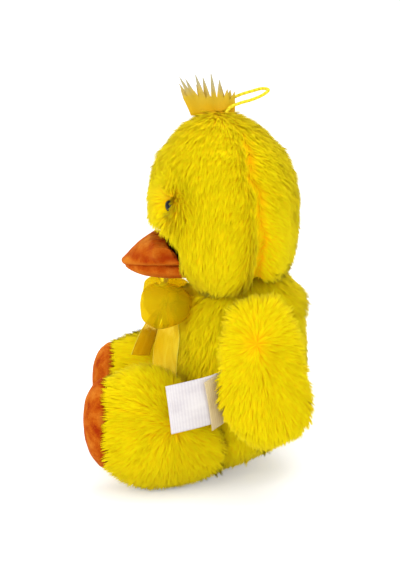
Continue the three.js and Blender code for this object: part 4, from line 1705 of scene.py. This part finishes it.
@dataclass
class Strip:
    """A strip of cloth along a route, with its width and the way across it at each point."""

    node: str
    slot: str
    route: list[Vector]
    widths: list[float]
    across: Vector
    cut: tuple[float, float]
    hold: Hold
    rests_on: str = "torso_pile"
    thick: float = 0.25 * MM
    steps: int = 56
    lanes: int = 24
    pleats: float = 0.0  # depth of the pleats at the gathered end
    folds: float = 3.0
    phase: float = 0.0
    slant: float = 0.0  # how far one corner of the free end is cut short
    curl: float = 0.0
    heart: Vector | None = None  # what a puffed loop's edges draw in towards
    pinch: tuple[float, float] = (0.5, 0.99)  # how far they draw in, along x and y

    def _place(self, u: float, v: float) -> Vector:
        """The point at share u along the strip and v across it.

        Args:
            u: The share of the way along.
            v: The share of the way across.

        Returns:
            The point.
        """
        along_it = u * (1 - self.slant * v)
        at = along(self.route, along_it)
        if self.heart:
            edge = abs(2 * v - 1) ** 3
            off = at - self.heart
            off.x *= 1 - self.pinch[0] * edge * min(1, abs(at.x) / abs(self.heart.x))
            off.y *= math.sqrt(1 - self.pinch[1] * edge)
            at = self.heart + off
        ahead = heading(self.route, along_it)
        across = (self.across - ahead * self.across.dot(ahead)).normalized()
        face = ahead.cross(across)
        width = between(self.widths, along_it)
        drawn = 1 - width / max(self.widths)
        fold = math.sin((v * self.folds + self.phase) * 2 * math.pi + 1.5 * math.sin(u * 5))
        lift = fold * self.pleats * (0.1 + 0.9 * min(1, drawn * 1.6))
        lift += self.curl * (4 * (v - 0.5) ** 2) * u
        return at + across * (v - 0.5) * width + face * lift

    def build(self, material: bpy.types.Material) -> bpy.types.Object:
        """Lays the strip out and seats it.

        Args:
            material: The cloth.

        Returns:
            The piece.
        """
        sheet = surface(f"{self.node}_cloth", self.steps, self.lanes, self._place)
        piece = seated(thickened(sheet, self.thick), material, "torso", self.slot, self.node)
        return piece


@dataclass
class Bow:
    """The tied ribbon: a collar in the fold of the neck, a knot, two puffed loops and two tails."""

    wide: float = 38 * MM
    knot: tuple[float, float, float] = (0.0, -33.5 * MM, 153 * MM)
    knot_size: tuple[float, float, float] = (18 * MM, 13 * MM, 16 * MM)
    knot_fill: float = 0.4
    knot_fold: float = 2.1 * MM  # the folds' spacing across the knot
    layer: float = 0.12 * MM  # one thickness of the ribbon
    reach: float = 43 * MM
    deep: float = 31 * MM
    sag: tuple[float, float] = (2 * MM, 11 * MM)  # how far the left and the right loop droop
    gather: float = 13 * MM
    pleats: float = 1.3 * MM
    drop: float = 62 * MM
    tail_gather: float = 7 * MM
    collar_folds: int = 5
    collar_thick: float = 1.7 * MM
    collar_deep: float = 7 * MM
    gathered: float = 1.0 * MM  # how far the collar stands out at the knot
    loop_shares: tuple[tuple[float, float, float, float], ...] = (
        (0, 0.07, 0, 0), (0.24, 0.5, 0.15, 0.55), (0.62, 0.86, 0.7, 0.97), (0.97, 0.6, 1, 1),
        (0.95, -0.1, 1, 1), (0.6, -0.48, 0.7, 0.97), (0.28, -0.3, 0.15, 0.55), (0, -0.07, 0, 0))
    left_tail: tuple[tuple[float, float, float], ...] = (
        (0.07, 0.01, 0), (0.12, 0.03, 0.15), (0.15, 0.06, 0.4), (0.14, 0.11, 0.72), (0.13, 0.12, 1))
    right_tail: tuple[tuple[float, float, float], ...] = (
        (-0.07, 0.03, 0), (-0.12, 0.2, 0.15), (-0.15, 0.32, 0.38), (-0.15, 0.4, 0.6),
        (-0.14, 0.47, 0.8))
    tail_spread: tuple[float, ...] = (0, 0.3, 0.85, 1, 1)

    def build(self) -> list[bpy.types.Object]:
        """Builds every piece of the bow.

        Returns:
            The pieces.
        """
        dense = Organza("gathered_organza", clear=0.06, edge=0xE8C020).make()
        pieces = [self._collar(dense), self._knot(dense)]
        for side in Side:
            pieces.append(self._loop(side))
            pieces.append(self._tail(side))
        log.info("bow: %d pieces", len(pieces))
        return pieces

    def _collar(self, material: bpy.types.Material) -> bpy.types.Object:
        """The ribbon round the neck, folded lengthways into the fold of the pile.

        Args:
            material: The gathered organza.

        Returns:
            The piece.
        """
        low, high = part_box("neck_ribbon")
        middle = (low + high) / 2
        half = (high - low) / 2

        def place(u: float, v: float) -> Vector:
            """The point at share u and v of the surface.

            Args:
                u: The share of the way along.
                v: The share of the way across.

            Returns:
                The point.
            """
            turn = u * 2 * math.pi - math.pi / 2
            fold = v * self.collar_folds
            share = fold % 2 if fold % 2 <= 1 else 2 - fold % 2
            front = float(bell(np.array(u - round(u)), 0.05))
            out = (v - 1) * self.collar_thick + 0.25 * MM * math.sin(9 * turn + 5 * v)
            out += self.gathered * front - self.collar_deep * (1 - front)
            radius = Vector((half.x + out, half.y + out))
            rise = (share * 2 - 1) * half.z * (0.86 + 0.1 * math.sin(5 * turn) + 0.5 * front)
            return middle + Vector((math.cos(turn) * radius.x, math.sin(turn) * radius.y, rise))

        piece = surface("neck_ribbon_cloth", 120, self.collar_folds * 4, place)
        modified(piece, "WELD", merge_threshold=0.01 * MM)
        seated(thickened(piece, self.layer), material, "torso", "ribbon", "neck_ribbon")
        return piece

    def _knot(self, material: bpy.types.Material) -> bpy.types.Object:
        """The knot, wrapped by a folded turn of ribbon.

        Args:
            material: The gathered organza.

        Returns:
            The piece.
        """
        piece = copy_of("bow_knot", "bow_knot_cloth")
        Stuffing(voxel=1.1 * MM, cap=0.6 * MM, frames=6).fill(piece)
        finer(piece, 1)
        places, normals = coordinates(piece.data), normals_of(piece.data)
        off = places - np.array(self.knot)
        angle = np.arctan2(off[:, 2], -off[:, 1])
        wrap = np.abs(np.sin(off[:, 0] / self.knot_fold + 0.35 * np.sin(2 * angle)))
        waist = bell(np.abs(off[:, 0]), 0.5 * self.knot_size[0])
        raised = (wrap - 0.6) * 0.9 * MM * waist
        set_coordinates(piece.data, places + normals * raised[:, None])
        piece.data.shade_smooth()
        at = coordinates(piece.data)
        shares = (at - at.min(0)) / (at.max(0) - at.min(0))
        lay_map(piece.data, shares[corners_of(piece.data)][:, [2, 0]] * 0.9 + 0.05)
        seated(piece, material, "torso", "ribbon", "bow_knot")
        return piece

    def _loop(self, side: Side) -> bpy.types.Object:
        """One puffed loop of the bow.

        Args:
            side: The side it is on.

        Returns:
            The piece.
        """
        near = self.knot_size[0] / 4
        sag = self.sag[0] if side is Side.LEFT else self.sag[1]
        route, widths = [], []
        for out, ahead, down, share in self.loop_shares:
            beside = (near + out * (self.reach + near)) * side.value
            route.append(Vector((beside, -ahead * self.deep, -down * sag)) + Vector(self.knot))
            widths.append(self.gather + (self.wide - self.gather) * share)
        long = length_of(route)
        heart = Vector(self.knot) + Vector((side.value * self.reach * 0.45, -0.36 * self.deep, 0))
        strip = Strip(f"{side.word}_bow_loop", "ribbon", route, widths, UP, (self.wide, long),
                      Hold.GATHERED, "bow_knot_cloth", steps=72, pleats=self.pleats, folds=3.5,
                      heart=heart, phase=0.2 if side is Side.LEFT else 0.6)
        return strip.build(Organza(f"{side.word}_loop_organza", long=long, clear=0.7, tint=0xFFF060,
                                   body=0xE2DA00, shadow=0xD0C600, edge=0xDCCC00).make())

    def _tail(self, side: Side) -> bpy.types.Object:
        """One cut tail, gathered at the knot and spreading as it falls.

        Args:
            side: The side it is on.

        Returns:
            The piece.
        """
        shares, twist = (self.left_tail, 34) if side is Side.LEFT else (self.right_tail, -28)
        top = Vector(self.knot) + Vector((0, 0, 0.3 * MM - self.knot_size[2] / 2))
        route = [top + Vector((out, -ahead, -down)) * self.drop for out, ahead, down in shares]
        widths = [self.tail_gather + (self.wide - self.tail_gather) * s for s in self.tail_spread]
        across = Matrix.Rotation(math.radians(twist), 3, "Z") @ Vector((1, 0, 0))
        long = length_of(route)
        strip = Strip(f"{side.word}_ribbon_tail", "ribbon", route, widths, across,
                      (self.wide, long), Hold.HUNG, pleats=self.pleats, folds=2.5, slant=0.08,
                      phase=0.1 if side is Side.LEFT else 0.5)
        clear = 0.3 if side is Side.LEFT else 0.5
        return strip.build(Organza(f"{side.word}_tail_organza", long=long, clear=clear,
                                   tint=0xFFF0A0, body=0xFFE630, shadow=0xF4D000).make())


@dataclass
class Labels:
    """The two blank woven labels in the left side seam."""

    seam: tuple[float, float] = (60 * MM, 14 * MM)
    spread: float = 36 * MM
    shares: tuple[tuple[float, float], ...] = ((0, 0), (0.4, 0.2), (0.8, 0.5), (1, 1))
    care: tuple[float, float, float, float] = (50 * MM, 41 * MM, 89 * MM, 9 * MM)
    size: tuple[float, float, float, float] = (28 * MM, 44 * MM, 88 * MM, 8 * MM)
    thick: float = 0.5 * MM
    apart: float = 1.5 * MM

    def build(self) -> list[bpy.types.Object]:
        """Builds both labels.

        Returns:
            The pieces.
        """
        first = self.thick + 0.3 * MM
        second = first + self.thick + self.apart
        rows = (("care_label", "white_label", self.care, first, 0xE8E3E3, 0xD2CBCF),
                ("size_label", "cream_label", self.size, second, 0xE6D5AC, 0xD2BA8A))
        return [self._label(*row) for row in rows]

    def _label(self, node: str, slot: str, sizes: tuple[float, float, float, float], offset: float,
               body: int, shade: int) -> bpy.types.Object:
        """One label, which runs forwards from the seam and bends away from the body.

        Args:
            node: The label's CAD node.
            slot: Its material slot.
            sizes: Its length and height, its top's height over the floor, and its front end's drop.
            offset: How far it stands off the seam's line.
            body: The tape's colour.
            shade: The tape's darker colour.

        Returns:
            The piece.
        """
        long, high, up, drop = sizes
        care_long = self.care[0]
        line = [Vector((self.seam[0] + out * self.spread, self.seam[1] - ahead * care_long, 0))
                for out, ahead in self.shares]
        route = []
        for _, ahead in self.shares:
            share = ahead * long / care_long
            place = along(line, share) - heading(line, share).cross(UP) * offset
            route.append(place + UP * (up - ahead * drop))
        strip = Strip(node, slot, route, [high] * len(route), UP, (high, length_of(route)),
                      Hold.HUNG, thick=0.35 * MM, steps=30, pleats=0.22 * MM, folds=0.8,
                      curl=0.7 * MM)
        return strip.build(WovenTape(f"{slot}_tape", high, long, body=body, shade=shade).make())


def main() -> None:
    """Builds the studio and then the duck, sub-assembly by sub-assembly."""
    logging.basicConfig(level=logging.INFO, format="%(name)s: %(message)s")
    Studio().build()
    velour = Velour().make()
    eye_black = Moulded("black_eye_plastic", 0x070606, 0.16, shine=0.2).make()
    firm = [UpperBeak("upper_beak", "head").build(velour),
            LowerBeak("lower_beak", "head").build(velour)]
    for side in Side:
        firm.append(Sole(f"{side.word}_sole", f"{side.word}_leg", voxel=3 * MM).build(velour))
        firm.append(Eye(side).build(eye_black))
    firm += Bow().build()[1:]
    firm += Labels().build()
    Fringe().build(StiffOrganza().make())
    HangingLoop().build(SatinCord().make())
    washer = Moulded("white_washer_plastic", 0xE6E3DA, 0.5).make()
    for side in Side:
        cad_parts[f"{side.word}_eye_washer"].material_slots[0].material = washer

    pile = LongPile().make()
    parts: list[Stuffed] = [Torso(), Head()]
    for i, side in enumerate(Side):
        parts.append(Arm(f"{side.word}_arm", f"{side.word}_arm", 21 + i, side=side))
        parts.append(Leg(f"{side.word}_leg", f"{side.word}_leg", 31 + i, side=side))
    for part in parts:
        part.make_skin()
    skins = {part.name: Avoid.of(part.skin, SOFT_SHARE) for part in parts}
    hard = [Avoid.of(piece, FIRM_SHARE) for piece in firm]
    for part in parts:
        others = [skins[other.name] for other in parts if other is not part]
        part.dress(others + hard, pile)


if __name__ == "__main__":
    main()
